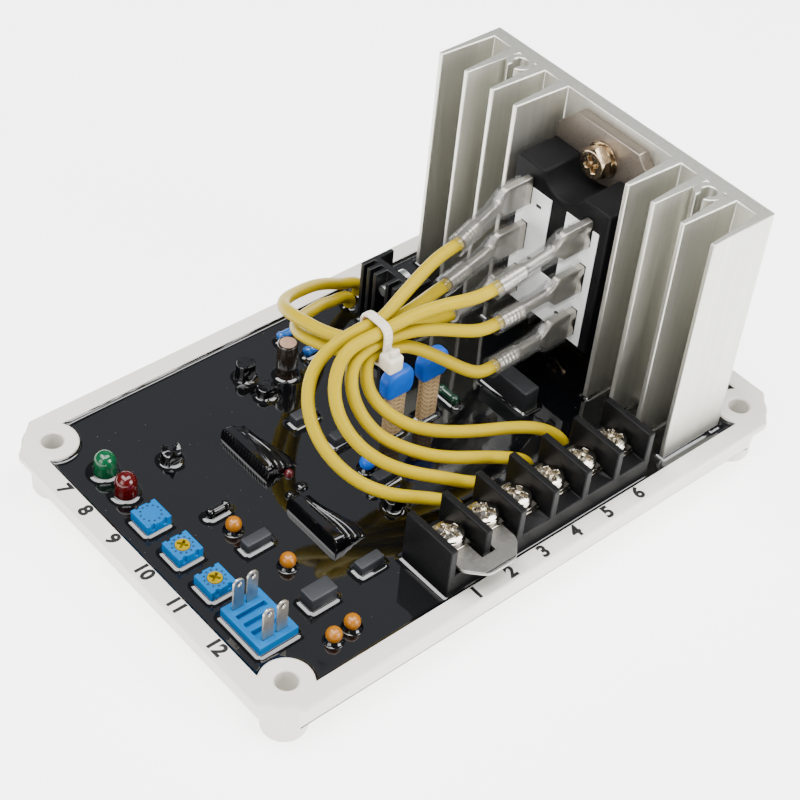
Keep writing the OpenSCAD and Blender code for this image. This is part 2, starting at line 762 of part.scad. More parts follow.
// A lead of round section that is swept along its points, with its rings carried on without twist
module lead(points) {
    last = len(points) - 1;
    tangents = [for (i = [0:last]) unit(points[min(i + 1, last)] - points[max(i - 1, 0)])];
    first = unit(cross(tangents[0], [0, 0, 1]));
    normals = [
        for (i = 0, n = first; i <= last;
             i = i + 1, n = i > last ? n : unit(n - (n * tangents[i]) * tangents[i])) n
    ];
    rings = [
        for (i = [0:last], k = [0:lead_sides - 1])
            let (turn = 360 * k / lead_sides)
            points[i] + lead_diameter / 2
                * (cos(turn) * normals[i] + sin(turn) * cross(tangents[i], normals[i]))
    ];
    sides = [
        for (i = [0:last - 1], k = [0:lead_sides - 1])
            let (a = i * lead_sides + k, b = i * lead_sides + (k + 1) % lead_sides)
            each [[a, b, b + lead_sides], [a, b + lead_sides, a + lead_sides]]
    ];
    start_face = [for (k = [lead_sides - 1:-1:0]) k];
    end_face = [for (k = [0:lead_sides - 1]) last * lead_sides + k];
    polyhedron(rings, [for (f = concat(sides, [start_face, end_face])) [for (j = [len(f) - 1:-1:0]) f[j]]]);
}

// A lead from the barrel of receptacle i along its route
module spade_lead(i, route) {
    start = spade_barrels[i] + lead_gap * unit(spade_reach[i] + [pivot_back, 0, 0]);
    color("#f4d21f") lead(concat([start], route));
}

module field_lead_1() { spade_lead(0, field_1); }
module field_lead_2() { spade_lead(3, field_2); }
module field_lead_3() { spade_lead(4, field_3); }
module field_lead_4() { spade_lead(5, field_4); }
module gate_lead_1() { spade_lead(1, gate_1); }
module gate_lead_2() { spade_lead(2, gate_2); }

// The pins in the resin on which the leads end
module lead_pins() {
    color("#c8c4b8") for (p = lead_ends) translate([p.x, p.y, board_top])
        cylinder(d = pin_diameter, h = resin_top - board_top);
}

// A bar along X with rounded edges
module rounded_bar(length, half_y, half_z, round) {
    rotate([90, 0, 90]) linear_extrude(length) union() {
        square([2 * half_y, 2 * (half_z - round)], center = true);
        square([2 * (half_y - round), 2 * half_z], center = true);
        for (sy = [-1, 1], sz = [-1, 1])
            translate([sy * (half_y - round), sz * (half_z - round)]) circle(r = round);
    }
}

module cable_tie() {
    color("#eceae4") translate([tie_x - tie_width / 2, 0, tie_z]) {
        difference() {
            union() {
                rounded_bar(tie_width, tie_inner_y + tie_thickness, tie_inner_z + tie_thickness,
                            tie_round + tie_thickness);
                translate([(tie_width - tie_head) / 2, -tie_inner_y - tie_head, -tie_inner_z])
                    cube([tie_head, tie_head, tie_head]);
            }
            translate([-past - tie_head, 0, 0])
                rounded_bar(tie_width + 2 * (past + tie_head), tie_inner_y, tie_inner_z, tie_round);
        }
    }
}

module terminal_body() {
    color("#17181b") difference() {
        translate([block_x - block_length / 2, block_front, board_top]) {
            cube([block_length, block_depth, pole_floor - board_top]);
            for (i = [0:pole_count]) translate([i * pole_pitch, 0, 0])
                cube([barrier_thickness, block_depth, barrier_top - board_top]);
        }
        for (i = [0:pole_count - 1]) translate([pole_x(i), pole_y, pole_floor - pole_screw_depth])
            cylinder(d = pole_screw + 2 * screw_fit, h = pole_screw_depth + past);
    }
}

module terminal_plates() {
    color("#c9c6bd") for (i = [0:pole_count - 1]) translate([pole_x(i), pole_y, pole_floor]) difference() {
        translate([-plate_width / 2, plate_front_gap - pole_screw_y, 0])
            cube([plate_width, plate_depth, plate_thickness]);
        translate([0, 0, -past]) cylinder(d = pole_screw + 2 * screw_fit, h = plate_thickness + 2 * past);
    }
}

module terminal_washers() {
    color("#d0ccc2") for (i = [0:pole_count - 1]) translate([pole_x(i), pole_y, plate_top + link_under(i)])
        difference() {
            centred_box([washer_side, washer_side, washer_thickness]);
            translate([0, 0, -past])
                cylinder(d = pole_screw + 2 * screw_fit, h = washer_thickness + 2 * past);
        }
}

module terminal_screws() {
    color("#d8d4ca") for (i = [0:pole_count - 1])
        translate([pole_x(i), pole_y, plate_top + link_under(i) + washer_thickness]) difference() {
            union() {
                cylinder(d = pole_head, h = pole_head_height / 2);
                translate([0, 0, pole_head_height / 2])
                    cylinder(d1 = pole_head, d2 = cross_length + cross_width, h = pole_head_height / 2);
                translate([0, 0, -pole_screw_depth]) cylinder(d = pole_screw, h = pole_screw_depth + past);
            }
            translate([0, 0, pole_head_height - cross_depth]) cross(cross_length, cross_depth + past);
        }
}

module shorting_link() {
    left = pole_x(0) - link_width / 2;
    right = pole_x(linked_poles - 1) + link_width / 2;
    back = pole_y + washer_side / 2;
    front = block_front - link_gap - link_reach;
    color("#cfcdc6") translate([0, 0, plate_top]) difference() {
        linear_extrude(link_thickness) polygon([
            [left, back], [left, front + link_cut], [left + link_cut, front], [right - link_cut, front],
            [right, front + link_cut], [right, back], [right - link_width, back],
            [right - link_width, block_front - link_gap], [left + link_width, block_front - link_gap],
            [left + link_width, back]
        ]);
        for (i = [0:linked_poles - 1]) translate([pole_x(i), pole_y, -past])
            cylinder(d = pole_screw + 2 * screw_fit, h = link_thickness + 2 * past);
    }
}

// One lamp: a collar, a cylinder and a round top
module lamp(y) {
    translate([lamp_x, y, lamp_low]) {
        cylinder(d = lamp_diameter + 2 * lamp_collar, h = lamp_collar_height);
        cylinder(d = lamp_diameter, h = lamp_height - lamp_diameter / 2);
        translate([0, 0, lamp_height - lamp_diameter / 2]) sphere(d = lamp_diameter);
    }
}

module lamp_green() { color("#1f7a55") lamp(lamp_y[0]); }
module lamp_red() { color("#8a1015") lamp(lamp_y[1]); }

// The plain block of a trimmer
module trimmer_block(y) {
    translate([adjuster_x, y, board_top]) centred_box([trimmer_side, trimmer_side, trimmer_top - board_top]);
}

// A trimmer with two notches in each of two sides, and a seat for its rotor where it has one
module trimmer(y, seat) {
    color("#27a9e8") difference() {
        trimmer_block(y);
        translate([adjuster_x, y, trimmer_top - trimmer_rise]) {
            for (turn = [90, 270], side = [-1, 1])
                rotate([0, 0, turn])
                    translate([(trimmer_side - trimmer_notch) / 2,
                               side * trimmer_side / 4 - trimmer_notch / 2, 0])
                        cube([trimmer_notch, trimmer_notch, trimmer_rise + past]);
            if (seat) translate([0, 0, trimmer_rise - rotor_seat])
                cylinder(d = rotor_diameter + 2 * rotor_fit, h = rotor_seat + past);
        }
    }
}

// A rotor with a cross slot
module rotor(y) {
    height = rotor_seat + rotor_rise - rotor_fit;
    color("#f0cf1f") translate([adjuster_x, y, trimmer_top - rotor_seat + rotor_fit]) difference() {
        cylinder(d = rotor_diameter, h = height);
        translate([0, 0, height - rotor_slot_depth]) {
            centred_box([rotor_slot_length, rotor_slot_width, rotor_slot_depth + past]);
            centred_box([rotor_slot_width, rotor_slot_length, rotor_slot_depth + past]);
        }
    }
}

module trimmer_sealed() { trimmer(trimmer_y[0], false); }
module trimmer_middle() { trimmer(trimmer_y[1], true); }
module rotor_middle() { rotor(trimmer_y[1]); }
module trimmer_end() { trimmer(trimmer_y[2], true); }
module rotor_end() { rotor(trimmer_y[2]); }

// The plain block of the selector
module selector_body() {
    translate([selector_x, selector_y, board_top])
        centred_box([selector_length, selector_width, selector_top - board_top]);
}

// Places the children at the selector's tabs, on the block's top
module at_selector_tabs() {
    for (sx = [-1, 1], sy = [-1, 1])
        translate([selector_x + sx * selector_tab_pitch / 2, selector_y + sy * selector_tab_rows / 2,
                   selector_top]) children();
}

module selector_block() {
    color("#27a9e8") difference() {
        selector_body();
        for (i = [0:selector_slots - 1])
            translate([selector_x, selector_y + (i - (selector_slots - 1) / 2) * selector_slot_pitch,
                       selector_top - selector_slot_depth])
                centred_box([selector_length - 2 * selector_slot, selector_slot, selector_slot_depth + past]);
        at_selector_tabs() translate([0, 0, -selector_seat])
            centred_box([selector_tab_width, selector_tab_thickness, selector_seat + past]);
    }
}

module selector_tabs() {
    straight = selector_tab_height - selector_tab_width / 2;
    color("#c4c8cb") at_selector_tabs() difference() {
        union() {
            translate([0, 0, -selector_seat])
                centred_box([selector_tab_width, selector_tab_thickness, selector_seat + straight]);
            translate([0, selector_tab_thickness / 2, straight]) rotate([90, 0, 0])
                cylinder(d = selector_tab_width, h = selector_tab_thickness);
        }
        translate([0, selector_tab_thickness / 2 + past, straight]) rotate([90, 0, 0])
            cylinder(r = selector_eye, h = selector_tab_thickness + 2 * past);
    }
}

// A bead on a short stem that stands on the resin
module bead(place) {
    translate([place.x, place.y, resin_top]) {
        cylinder(d = bead_diameter / 2, h = bead_diameter / 2);
        translate([0, 0, bead_diameter / 2]) sphere(d = bead_diameter);
    }
}

module bead_capacitors() { color("#f0981c") for (p = bead_places) bead(p); }
module blue_bead() { color("#1f6fd6") bead(blue_bead_place); }

module film_capacitors() {
    color("#6f7278") for (p = film_places) translate([p.x, p.y, resin_top]) centred_box(film_size);
}

module box_capacitor() {
    color("#7a7e86") translate([box_place.x, box_place.y, resin_top]) centred_box(box_size);
}

module electrolytic_can() {
    color("#3a322c") translate([can_place.x, can_place.y, resin_top]) {
        cylinder(d = can_diameter, h = can_height - can_bevel);
        translate([0, 0, can_height - can_bevel])
            cylinder(d1 = can_diameter, d2 = can_diameter - 2 * can_bevel, h = can_bevel);
    }
}

// Round transistors with one flat side, each with its height above the resin
module small_transistors() {
    color("#1a1a1e") for (p = transistor_places) translate([p.x, p.y, resin_top]) difference() {
        cylinder(d = transistor_diameter, h = p.z);
        translate([-transistor_diameter, -transistor_diameter - transistor_flat, -past])
            cube([2 * transistor_diameter, transistor_diameter, p.z + 2 * past]);
    }
}

// Long blocks under a coat of resin: steep towards the adjusters, sloped on the other side
module coated_blocks() {
    color("#1b1c21") for (p = coated_places) translate([p.x, p.y + coated_length / 2, resin_top])
        rotate([90, 0, 0]) linear_extrude(coated_length) polygon([
            [-coated_width / 2, 0], [-coated_width / 2, coated_height - coated_lip],
            [-coated_width / 2 + coated_lip / 2, coated_height], [0, coated_height - coated_lip / 2],
            [coated_width / 2, 0]
        ]);
}

// A round body that lies on two legs, along X
module lying_part(diameter, length) {
    translate([-length / 2, 0, diameter / 2 + leg_diameter / 2]) rotate([0, 90, 0])
        cylinder(d = diameter, h = length);
    for (s = [-1, 1]) translate([s * (length / 2 - leg_diameter), 0, 0])
        cylinder(d = leg_diameter, h = diameter / 2 + leg_diameter / 2);
}

module diode() {
    color("#202126") translate([diode_place.x, diode_place.y, resin_top])
        lying_part(diode_diameter, diode_length);
}

module blue_resistors() {
    color("#3f7fc4") for (p = blue_resistor_places) translate([p.x, p.y, resin_top])
        lying_part(resistor_diameter, resistor_length);
}

module green_resistor() {
    color("#1d4a35") translate([green_resistor_place.x, green_resistor_place.y, resin_top])
        rotate([0, 0, 90]) lying_part(resistor_diameter, resistor_length);
}

module varistors() {
    color("#1f6fd6") for (p = varistor_places) translate([p.x, p.y, resin_top + woven_height]) {
        difference() {
            translate([0, varistor_thickness / 2, varistor_diameter / 2 - varistor_sink]) rotate([90, 0, 0])
                cylinder(d = varistor_diameter, h = varistor_thickness);
            translate([0, 0, -varistor_diameter])
                centred_box([varistor_diameter, 2 * varistor_thickness, varistor_diameter]);
        }
    }
}

module woven_sleeves() {
    color("#b59a78") for (p = varistor_places) translate([p.x, p.y, resin_top])
        centred_box([woven_width, woven_thickness, woven_height]);
}

module relay_box() {
    color("#3a3b40") translate([relay_place.x, relay_place.y, resin_top]) centred_box(relay_size);
}

// An upright H-shaped extrusion with three fins on each side
module small_heat_sink() {
    side_y = (cooler_inner + cooler_wall) / 2;
    fin_reach = cooler_web / 2 + cooler_fin;
    color("#141416") translate([cooler_place.x, cooler_place.y, resin_top]) difference() {
        union() {
            centred_box([cooler_web, cooler_inner + past, cooler_height]);
            for (s = [-1, 1]) {
                translate([cooler_side_shift, s * side_y, 0])
                    centred_box([cooler_depth, cooler_wall, cooler_height]);
                for (row = [1, 2])
                    translate([-fin_reach / 2, s * (side_y - row * cooler_fin_pitch), 0])
                        centred_box([fin_reach, cooler_wall, cooler_height]);
            }
        }
        translate([-cooler_web, 0, power_rise + power_body_height + power_hole_height]) rotate([0, 90, 0])
            cylinder(d = power_screw, h = 2 * cooler_web);
    }
}

// The back face of the power transistor lies on the web's face towards the main heat sink
module at_power_transistor() {
    translate([cooler_place.x + cooler_web / 2, cooler_place.y, resin_top + power_rise]) children();
}

module power_transistor() {
    color("#1c1c1f") at_power_transistor() difference() {
        union() {
            translate([0, -power_width / 2, 0]) cube([power_thickness, power_width, power_body_height]);
            translate([0, -power_width / 2, 0])
                cube([power_tab, power_width, power_body_height + power_tab_height]);
            for (i = [-1, 0, 1]) translate([power_thickness / 2, i * power_leg_pitch, -power_rise])
                centred_box([leg_diameter, leg_diameter, power_rise + past]);
        }
        translate([-past, 0, power_body_height + power_hole_height]) rotate([0, 90, 0])
            cylinder(d = power_screw + 2 * screw_fit, h = power_tab + 2 * past);
    }
}

// The head lies on the tab and the thread ends between the fins
module power_transistor_screw() {
    reach = power_tab + cooler_web + power_screw_end;
    color("#c0bfba") at_power_transistor() translate([power_tab, 0, power_body_height + power_hole_height])
        rotate([0, 90, 0]) difference() {
            union() {
                cylinder(d = power_head, h = power_head_height);
                translate([0, 0, -reach]) cylinder(d = power_screw - 2 * screw_fit, h = reach + past);
            }
            translate([0, 0, power_head_height - cross_depth / 2]) cross(power_head / 2, cross_depth);
        }
}

tray();
potting_resin();
circuit_board();
heat_sink();
heat_sink_screws();
module_base();
module_case();
module_label();
module_tabs();
module_screws();
spade_receptacles();
spade_sleeves();
field_lead_1();
field_lead_2();
field_lead_3();
field_lead_4();
gate_lead_1();
gate_lead_2();
lead_pins();
cable_tie();
terminal_body();
terminal_plates();
terminal_washers();
terminal_screws();
shorting_link();
lamp_green();
lamp_red();
trimmer_sealed();
trimmer_middle();
rotor_middle();
trimmer_end();
rotor_end();
selector_block();
selector_tabs();
bead_capacitors();
blue_bead();
film_capacitors();
box_capacitor();
electrolytic_can();
small_transistors();
coated_blocks();
diode();
blue_resistors();
green_resistor();
varistors();
woven_sleeves();
relay_box();
small_heat_sink();
power_transistor();
power_transistor_screw();
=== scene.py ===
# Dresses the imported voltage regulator: poured resin, leads, spade ends, screws, lamps, print and a studio.
import bmesh
import bpy
import numpy as np
from numpy import array, concatenate, cos, exp, linspace, maximum, minimum, pi, sin, stack
from numpy.linalg import norm
from mathutils import Matrix


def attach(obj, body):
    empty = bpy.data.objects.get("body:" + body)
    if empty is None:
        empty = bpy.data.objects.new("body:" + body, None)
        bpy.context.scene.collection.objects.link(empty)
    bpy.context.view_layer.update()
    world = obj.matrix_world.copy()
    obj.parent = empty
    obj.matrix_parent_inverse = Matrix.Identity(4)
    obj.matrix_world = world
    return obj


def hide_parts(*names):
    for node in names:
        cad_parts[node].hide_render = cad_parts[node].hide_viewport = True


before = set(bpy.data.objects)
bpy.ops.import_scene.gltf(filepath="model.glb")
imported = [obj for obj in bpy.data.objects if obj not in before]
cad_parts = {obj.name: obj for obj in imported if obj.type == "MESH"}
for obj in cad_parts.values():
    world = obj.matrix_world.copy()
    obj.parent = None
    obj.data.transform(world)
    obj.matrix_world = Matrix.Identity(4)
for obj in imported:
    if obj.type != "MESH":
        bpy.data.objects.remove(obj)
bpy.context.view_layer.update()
mm = 0.001
main = "regulator"
print("frame:", len(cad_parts), "nodes")

# where parts stand, in mm: the resin banks up round these places and the parts are built at them
resinLevel = 12.8
bothSides = (-1, 1)
poleX = (-21.4, -11.6, -1.8, 8.0, 17.8, 27.6)
spots = {
    "trimmers": ((-63.95, 9.7), (-63.95, -1.7), (-63.95, -13.1)), "lamps": ((-63.25, 28), (-63.25, 20)),
    "selector": (-62.95, -26.9), "greyBox": (-48.85, -28.8), "can": (-11.4, 29.4), "diode": (-50.85, 3.4),
    "films": ((-49.85, -8.8), (-34.45, -28), (-14.8, -10.4), (-17.6, 15.2), (-14.6, 5)),
    "transistors": ((-49.35, 22.4), (-19.6, 34.4), (-19.2, 27), (-18.4, -17.6)),
    "blueBodies": ((-3, 39.4), (-1.2, 31.6)), "greenBody": (13.9, 0.8), "darkBox": (27.05, -5.9),
    "discs": ((-4.1, 0.1), (6.2, 0.0)), "blueBead": (-15.8, -5.2),
    "leadPins": ((-9, -27.8), (0.5, -27.8), (12, -27.8), (23.5, -27.6), (21, 42.4), (16.4, 40)),
    "orangeBeads": ((-51.05, -2.5), (-48.05, -17.5), (-53.05, -39), (-47.85, -38.6)),
}


# meshes from arrays
def unit(v):
    return v / norm(v, axis=-1, keepdims=True)


def onceRound(count):
    return linspace(0, 2 * pi, count, endpoint=False)


def signedPower(v, power):
    return np.sign(v) * abs(v) ** power


def smoothStep(x, low, high):
    # rises from 0 to 1 between low and high: three times the square less twice the cube
    t = np.clip((x - low) / (high - low), 0, 1)
    return t * t * (3 - 2 * t)


def turnedAxes(x, y, angle):
    return x * cos(angle) + y * sin(angle), y * cos(angle) - x * sin(angle)


def gridFaces(rows, cols, wrapRows, wrapCols, start):
    # quads between neighbouring rows and columns of a grid, with the grid place of each corner for the UV map
    r = np.arange(rows if wrapRows else rows - 1)[:, None]
    c = np.arange(cols if wrapCols else cols - 1)[None, :]
    r2, c2 = (r + 1) % rows, (c + 1) % cols
    quads = stack([r * cols + c, r * cols + c2, r2 * cols + c2, r2 * cols + c], -1).reshape(-1, 4) + start
    first = stack([c + 0 * r, r + 0 * c], -1)[:, :, None]
    corners = first + array([[0, 0], [1, 0], [1, 1], [0, 1]])
    return quads.tolist(), corners.reshape(-1, 2).astype(float)


def tidyMesh(mesh, smooth):
    # welds seams and poles, turns faces outwards and keeps edges sharper than the angle
    bm = bmesh.new()
    bm.from_mesh(mesh)
    bmesh.ops.remove_doubles(bm, verts=bm.verts, dist=2e-7)
    bmesh.ops.recalc_face_normals(bm, faces=bm.faces)
    bm.to_mesh(mesh)
    bm.free()
    mesh.shade_smooth()
    mesh.set_sharp_from_angle(angle=np.radians(smooth))


def settle(piece, node=None, body=main):
    # puts a piece in the scene, on its body, in place of its node
    bpy.context.scene.collection.objects.link(piece)
    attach(piece, body)
    if node:
        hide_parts(node)
    return piece


finishes = {}  # materials by name
noEnds, bothEnds, lastEnd = (), (0, -1), (-1,)  # the rows of a patch that a face closes


def dress(mesh, finish):
    mesh.materials.clear()
    mesh.materials.append(finishes[finish])


def addPiece(name, patches, finish, node=None, smooth=38, body=main):
    # patches: (points of rows x columns in mm, rows closed, columns closed, end faces)
    points, faces, uvs, start = [], [], [], 0
    for grid, wrapRows, wrapCols, caps in patches:
        rows, cols = grid.shape[:2]
        quads, corners = gridFaces(rows, cols, wrapRows, wrapCols, start)
        across = norm(np.diff(grid, axis=1), axis=-1).mean()
        along = norm(np.diff(grid, axis=0), axis=-1).mean()
        faces += quads
        uvs.append(corners * [across, along] * mm)
        for end in caps:
            faces.append((np.arange(cols) + (end % rows) * cols + start).tolist())
            uvs.append(np.zeros((cols, 2)))
        points.append(grid.reshape(-1, 3))
        start += rows * cols
    mesh = bpy.data.meshes.new(name)
    mesh.from_pydata((concatenate(points) * mm).tolist(), [], faces)
    layer = mesh.uv_layers.new(name="grid")
    layer.data.foreach_set("uv", concatenate(uvs).ravel())
    tidyMesh(mesh, smooth)
    dress(mesh, finish)
    return settle(bpy.data.objects.new(name, mesh), node, body)


def softCopy(node, finish, width, slot, corner=0.0, sharp=np.radians(40)):
    # the node's own solid with its edges rounded by width, and its 45 degree edges by corner, in mm
    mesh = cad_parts[node].data.copy()
    bm = bmesh.new()
    bm.from_mesh(mesh)
    bmesh.ops.remove_doubles(bm, verts=bm.verts, dist=1e-6)
    bmesh.ops.dissolve_limit(bm, angle_limit=np.radians(0.6), verts=bm.verts, edges=bm.edges)
    if corner:
        turned = [e for e in bm.edges if abs(np.degrees(e.calc_face_angle(0)) - 45) < 3]
        bmesh.ops.bevel(bm, geom=turned, offset=corner * mm, segments=6, profile=0.5, affect="EDGES")
    bm.to_mesh(mesh)
    bm.free()
    dress(mesh, finish)
    mesh.shade_smooth()
    mesh.set_sharp_from_angle(angle=sharp)
    piece = bpy.data.objects.new(node + "_soft", mesh)
    rounding = piece.modifiers.new("rounding", "BEVEL")
    rounding.width = width * mm
    rounding.segments = 2
    rounding.limit_method = "ANGLE"
    rounding.angle_limit = sharp
    rounding.use_clamp_overlap = False
    return settle(piece, node)


def place(grid, origin, ax=(1, 0, 0), ay=(0, 1, 0), az=(0, 0, 1)):
    # local points carried to an origin with three axes
    return np.asarray(origin, float) + grid @ array([ax, ay, az], float)


def roundedBox(centre, half, radius, steps):
    # an eighth of a sphere in each corner, pushed out to the corner; the flats lie between the eighths
    quarter = linspace(0, pi / 2, steps + 1)
    turn = concatenate([quarter + k * pi / 2 for k in range(4)])
    turnSide = np.repeat(array([[1, 1], [-1, 1], [-1, -1], [1, -1]]), steps + 1, axis=0)
    rise = concatenate([quarter - pi / 2, quarter])
    riseSide = np.repeat(bothSides, steps + 1)
    core = np.asarray(half, float) - radius
    x = turnSide[:, 0] * core[0] + radius * cos(rise)[:, None] * cos(turn)
    y = turnSide[:, 1] * core[1] + radius * cos(rise)[:, None] * sin(turn)
    z = (riseSide * core[2] + radius * sin(rise))[:, None] + 0 * x
    return stack([x, y, z], -1) + np.asarray(centre, float), False, True, bothEnds


def revolve(profile, origin, ax=(1, 0, 0), ay=(0, 1, 0), az=(0, 0, 1), count=48, outline=None):
    # radius and height pairs turned about az; outline scales the radius by angle, as on a hexagon
    p = np.asarray(profile, float)
    turn = onceRound(count)
    wide = p[:, :1] * (np.ones(count) if outline is None else outline(turn))
    local = stack([wide * cos(turn), wide * sin(turn), p[:, 1:] + 0 * wide], -1)
    return place(local, origin, ax, ay, az), False, True, bothEnds


def splinePath(points, count):
    # natural cubic through the points by chord length, at even steps
    p = np.asarray(points, float)
    n = len(p)
    t = np.r_[0, np.cumsum(norm(np.diff(p, axis=0), axis=1))]
    h = np.diff(t)
    i = np.arange(1, n - 1)
    a, b = np.eye(n), np.zeros((n, 3))
    a[i, i - 1], a[i, i], a[i, i + 1] = h[:-1], 2 * (h[:-1] + h[1:]), h[1:]
    b[1:-1] = 6 * ((p[2:] - p[1:-1]) / h[1:, None] - (p[1:-1] - p[:-2]) / h[:-1, None])
    m = np.linalg.solve(a, b)
    s = linspace(0, t[-1], count)
    k = np.clip(np.searchsorted(t, s) - 1, 0, n - 2)
    u, v, w = (s - t[k])[:, None], (t[k + 1] - s)[:, None], h[k][:, None]
    bend = (m[k] * v**3 + m[k + 1] * u**3) / (6 * w)
    return bend + (p[k] / w - m[k] * w / 6) * v + (p[k + 1] / w - m[k + 1] * w / 6) * u


def carriedFrames(path):
    # an up and a side direction that stay square to the path and are carried along it without twist
    tangent = unit(np.gradient(path, axis=0))
    up = array([0, 0, 1.0])
    ups = [unit(up - np.dot(up, tangent[0]) * tangent[0])]
    for t in tangent[1:]:
        ups.append(unit(ups[-1] - np.dot(ups[-1], t) * t))
    ups = array(ups)
    return ups, np.cross(tangent, ups)


def tube(path, radius, count):
    # a circle of the given radius at each station of the path
    turn = onceRound(count)
    ups, sides = carriedFrames(path)
    ring = cos(turn)[:, None] * ups[:, None] + sin(turn)[:, None] * sides[:, None]
    return path[:, None] + radius * ring, False, True, bothEnds


# materials
mixFactor, mixLow, mixHigh, mixResult = 0, 6, 7, 2  # sockets of a Mix node that mixes colours


def linear(code):
    # sRGB hex text to linear red, green, blue and alpha
    c = array([int(code[i:i + 2], 16) for i in (1, 3, 5)]) / 255
    return (*np.where(c <= 0.04045, c / 12.92, ((c + 0.055) / 1.055) ** 2.4).tolist(), 1.0)


def addNode(tree, kind, settings=None, links=None, feeds=None):
    # one node: settings by socket or property name, links as input: (node, output), feeds as output: socket
    node = tree.nodes.new("ShaderNode" + kind)
    for key, value in (settings or {}).items():
        if isinstance(key, int) or key in node.inputs.keys():
            node.inputs[key].default_value = value
        else:
            setattr(node, key, value)
    for key, (source, output) in (links or {}).items():
        tree.links.new(source.outputs[output], node.inputs[key])
    for key, socket in (feeds or {}).items():
        tree.links.new(node.outputs[key], socket)
    return node


def finishOf(name, light, dark, patch, rough, spread, grain, relief, stretch=(1, 1, 1), specular=0.5,
             **sockets):
    # two colours mixed in patches, roughness that wanders, and a fine relief: patch, grain, relief in mm
    material = finishes[name] = bpy.data.materials.new(name)
    material.use_nodes = True
    tree = material.node_tree
    inputs = tree.nodes["Principled BSDF"].inputs
    where = addNode(tree, "TexCoord")
    drawn = addNode(tree, "Mapping", {"Scale": stretch}, {"Vector": (where, "Object")})
    patches = addNode(tree, "TexNoise", {"Scale": 1 / (patch * mm), "Detail": 4.0, "Roughness": 0.6},
                      {"Vector": (drawn, "Vector")})
    grains = addNode(tree, "TexNoise", {"Scale": 1 / (grain * mm), "Detail": 3.0, "Roughness": 0.55},
                     {"Vector": (drawn, "Vector")})
    addNode(tree, "Mix", {"data_type": "RGBA", mixLow: linear(dark), mixHigh: linear(light)},
            {mixFactor: (patches, "Fac")}, {mixResult: inputs["Base Color"]})
    limits = {"From Min": 0.3, "From Max": 0.7, "To Min": rough - spread, "To Max": rough + spread}
    addNode(tree, "MapRange", limits, {"Value": (grains, "Fac")}, {"Result": inputs["Roughness"]})
    addNode(tree, "Bump", {"Strength": 0.6, "Distance": relief * mm}, {"Height": (grains, "Fac")},
            {"Normal": inputs["Normal"]})
    for key, value in {"Specular_IOR_Level": specular, **sockets}.items():
        inputs[key.replace("_", " ")].default_value = value
    return tree


# satin ABS moulding: off-white, soft sheen, very fine spark texture
finishOf("satin_abs", "#d6d3cb", "#cbc7bf", 30, 0.42, 0.06, 0.35, 0.012, IOR=1.53)
# extruded aluminium with a dull skin: pale metal with drawn streaks along Z
finishOf("drawn_aluminium", "#d6d5cc", "#bbbab0", 1.4, 0.42, 0.08, 0.5, 0.02,
         stretch=(1, 1, 0.02), Metallic=0.9)
# nickel-plated steel: smooth, slightly warm mirror with fine handling marks
finishOf("nickel_steel", "#cfc9bc", "#aaa396", 1.5, 0.14, 0.06, 0.5, 0.01, Metallic=1.0)
# the link's rolled sheet: duller than the screws
finishOf("rolled_sheet", "#9c9a95", "#7f7d78", 0.8, 0.4, 0.08, 0.3, 0.01, Metallic=1.0)
# warm nickel: bright on the module's screws, darker and duller on its base plate
finishOf("warm_nickel", "#d3bf9f", "#a8947a", 1.5, 0.2, 0.08, 0.5, 0.012, Metallic=1.0)
finishOf("nickel_base_plate", "#8d8378", "#71675d", 6, 0.34, 0.08, 0.4, 0.01, Metallic=0.8)
# zinc-plated steel: cool grey, half dull
finishOf("zinc_steel", "#b9bcb9", "#9a9d9c", 2, 0.35, 0.08, 0.4, 0.01, Metallic=1.0)
# tinned brass sheet: soft bright grey, nearly even
finishOf("tinned_brass", "#bab5ab", "#b0aba1", 6, 0.36, 0.03, 0.9, 0.001, Metallic=1.0)
# clear vinyl sleeve: see-through with a soft gloss
finishOf("clear_vinyl", "#666664", "#5a5a58", 4, 0.1, 0.03, 1.6, 0.002,
         IOR=1.53, Alpha=0.18, Coat_Weight=1.0, Coat_Roughness=0.05)
# yellow vinyl insulation: extruded, half gloss, faintly uneven
finishOf("yellow_vinyl", "#a48d00", "#968000", 9, 0.42, 0.07, 0.6, 0.02, specular=0.15)
# natural nylon: milky, lets a little light in
finishOf("natural_nylon", "#d3ccbd", "#c3bba9", 5, 0.38, 0.08, 0.4, 0.02, IOR=1.53,
         Subsurface_Weight=0.3, Subsurface_Scale=0.002)
# black phenolic moulding of the terminal block: dull gloss with a fine grain
finishOf("black_phenolic", "#09090b", "#050506", 5, 0.5, 0.1, 0.25, 0.02, specular=0.15)
# black epoxy moulding of the module's case: matt, finely pitted
finishOf("black_moulding", "#070709", "#040405", 4, 0.62, 0.08, 0.2, 0.03, specular=0.15)
# printed film label: white satin
finishOf("label_film", "#f1f2f2", "#e8e9e9", 10, 0.4, 0.05, 0.5, 0.005)
# moulded thermoplastic with a soft sheen: blue trimmers and selector, yellow rotors
finishOf("blue_thermoplastic", "#005c98", "#00528a", 5, 0.45, 0.07, 0.2, 0.012, specular=0.12)
finishOf("yellow_thermoplastic", "#8a7600", "#786600", 2, 0.45, 0.06, 0.15, 0.01, specular=0.15)
# dipped epoxy: thick and a little uneven, glossy on the orange beads, softer on the blue
finishOf("orange_epoxy", "#985e00", "#7c4800", 1.5, 0.3, 0.06, 0.8, 0.05)
finishOf("blue_epoxy", "#0560d2", "#044cb0", 4, 0.36, 0.08, 0.6, 0.04, specular=0.3)
# moulded cases of the film capacitors: dark grey, nearly matt
finishOf("grey_film_case", "#27292d", "#1d1f23", 3, 0.5, 0.08, 0.2, 0.015, specular=0.35)
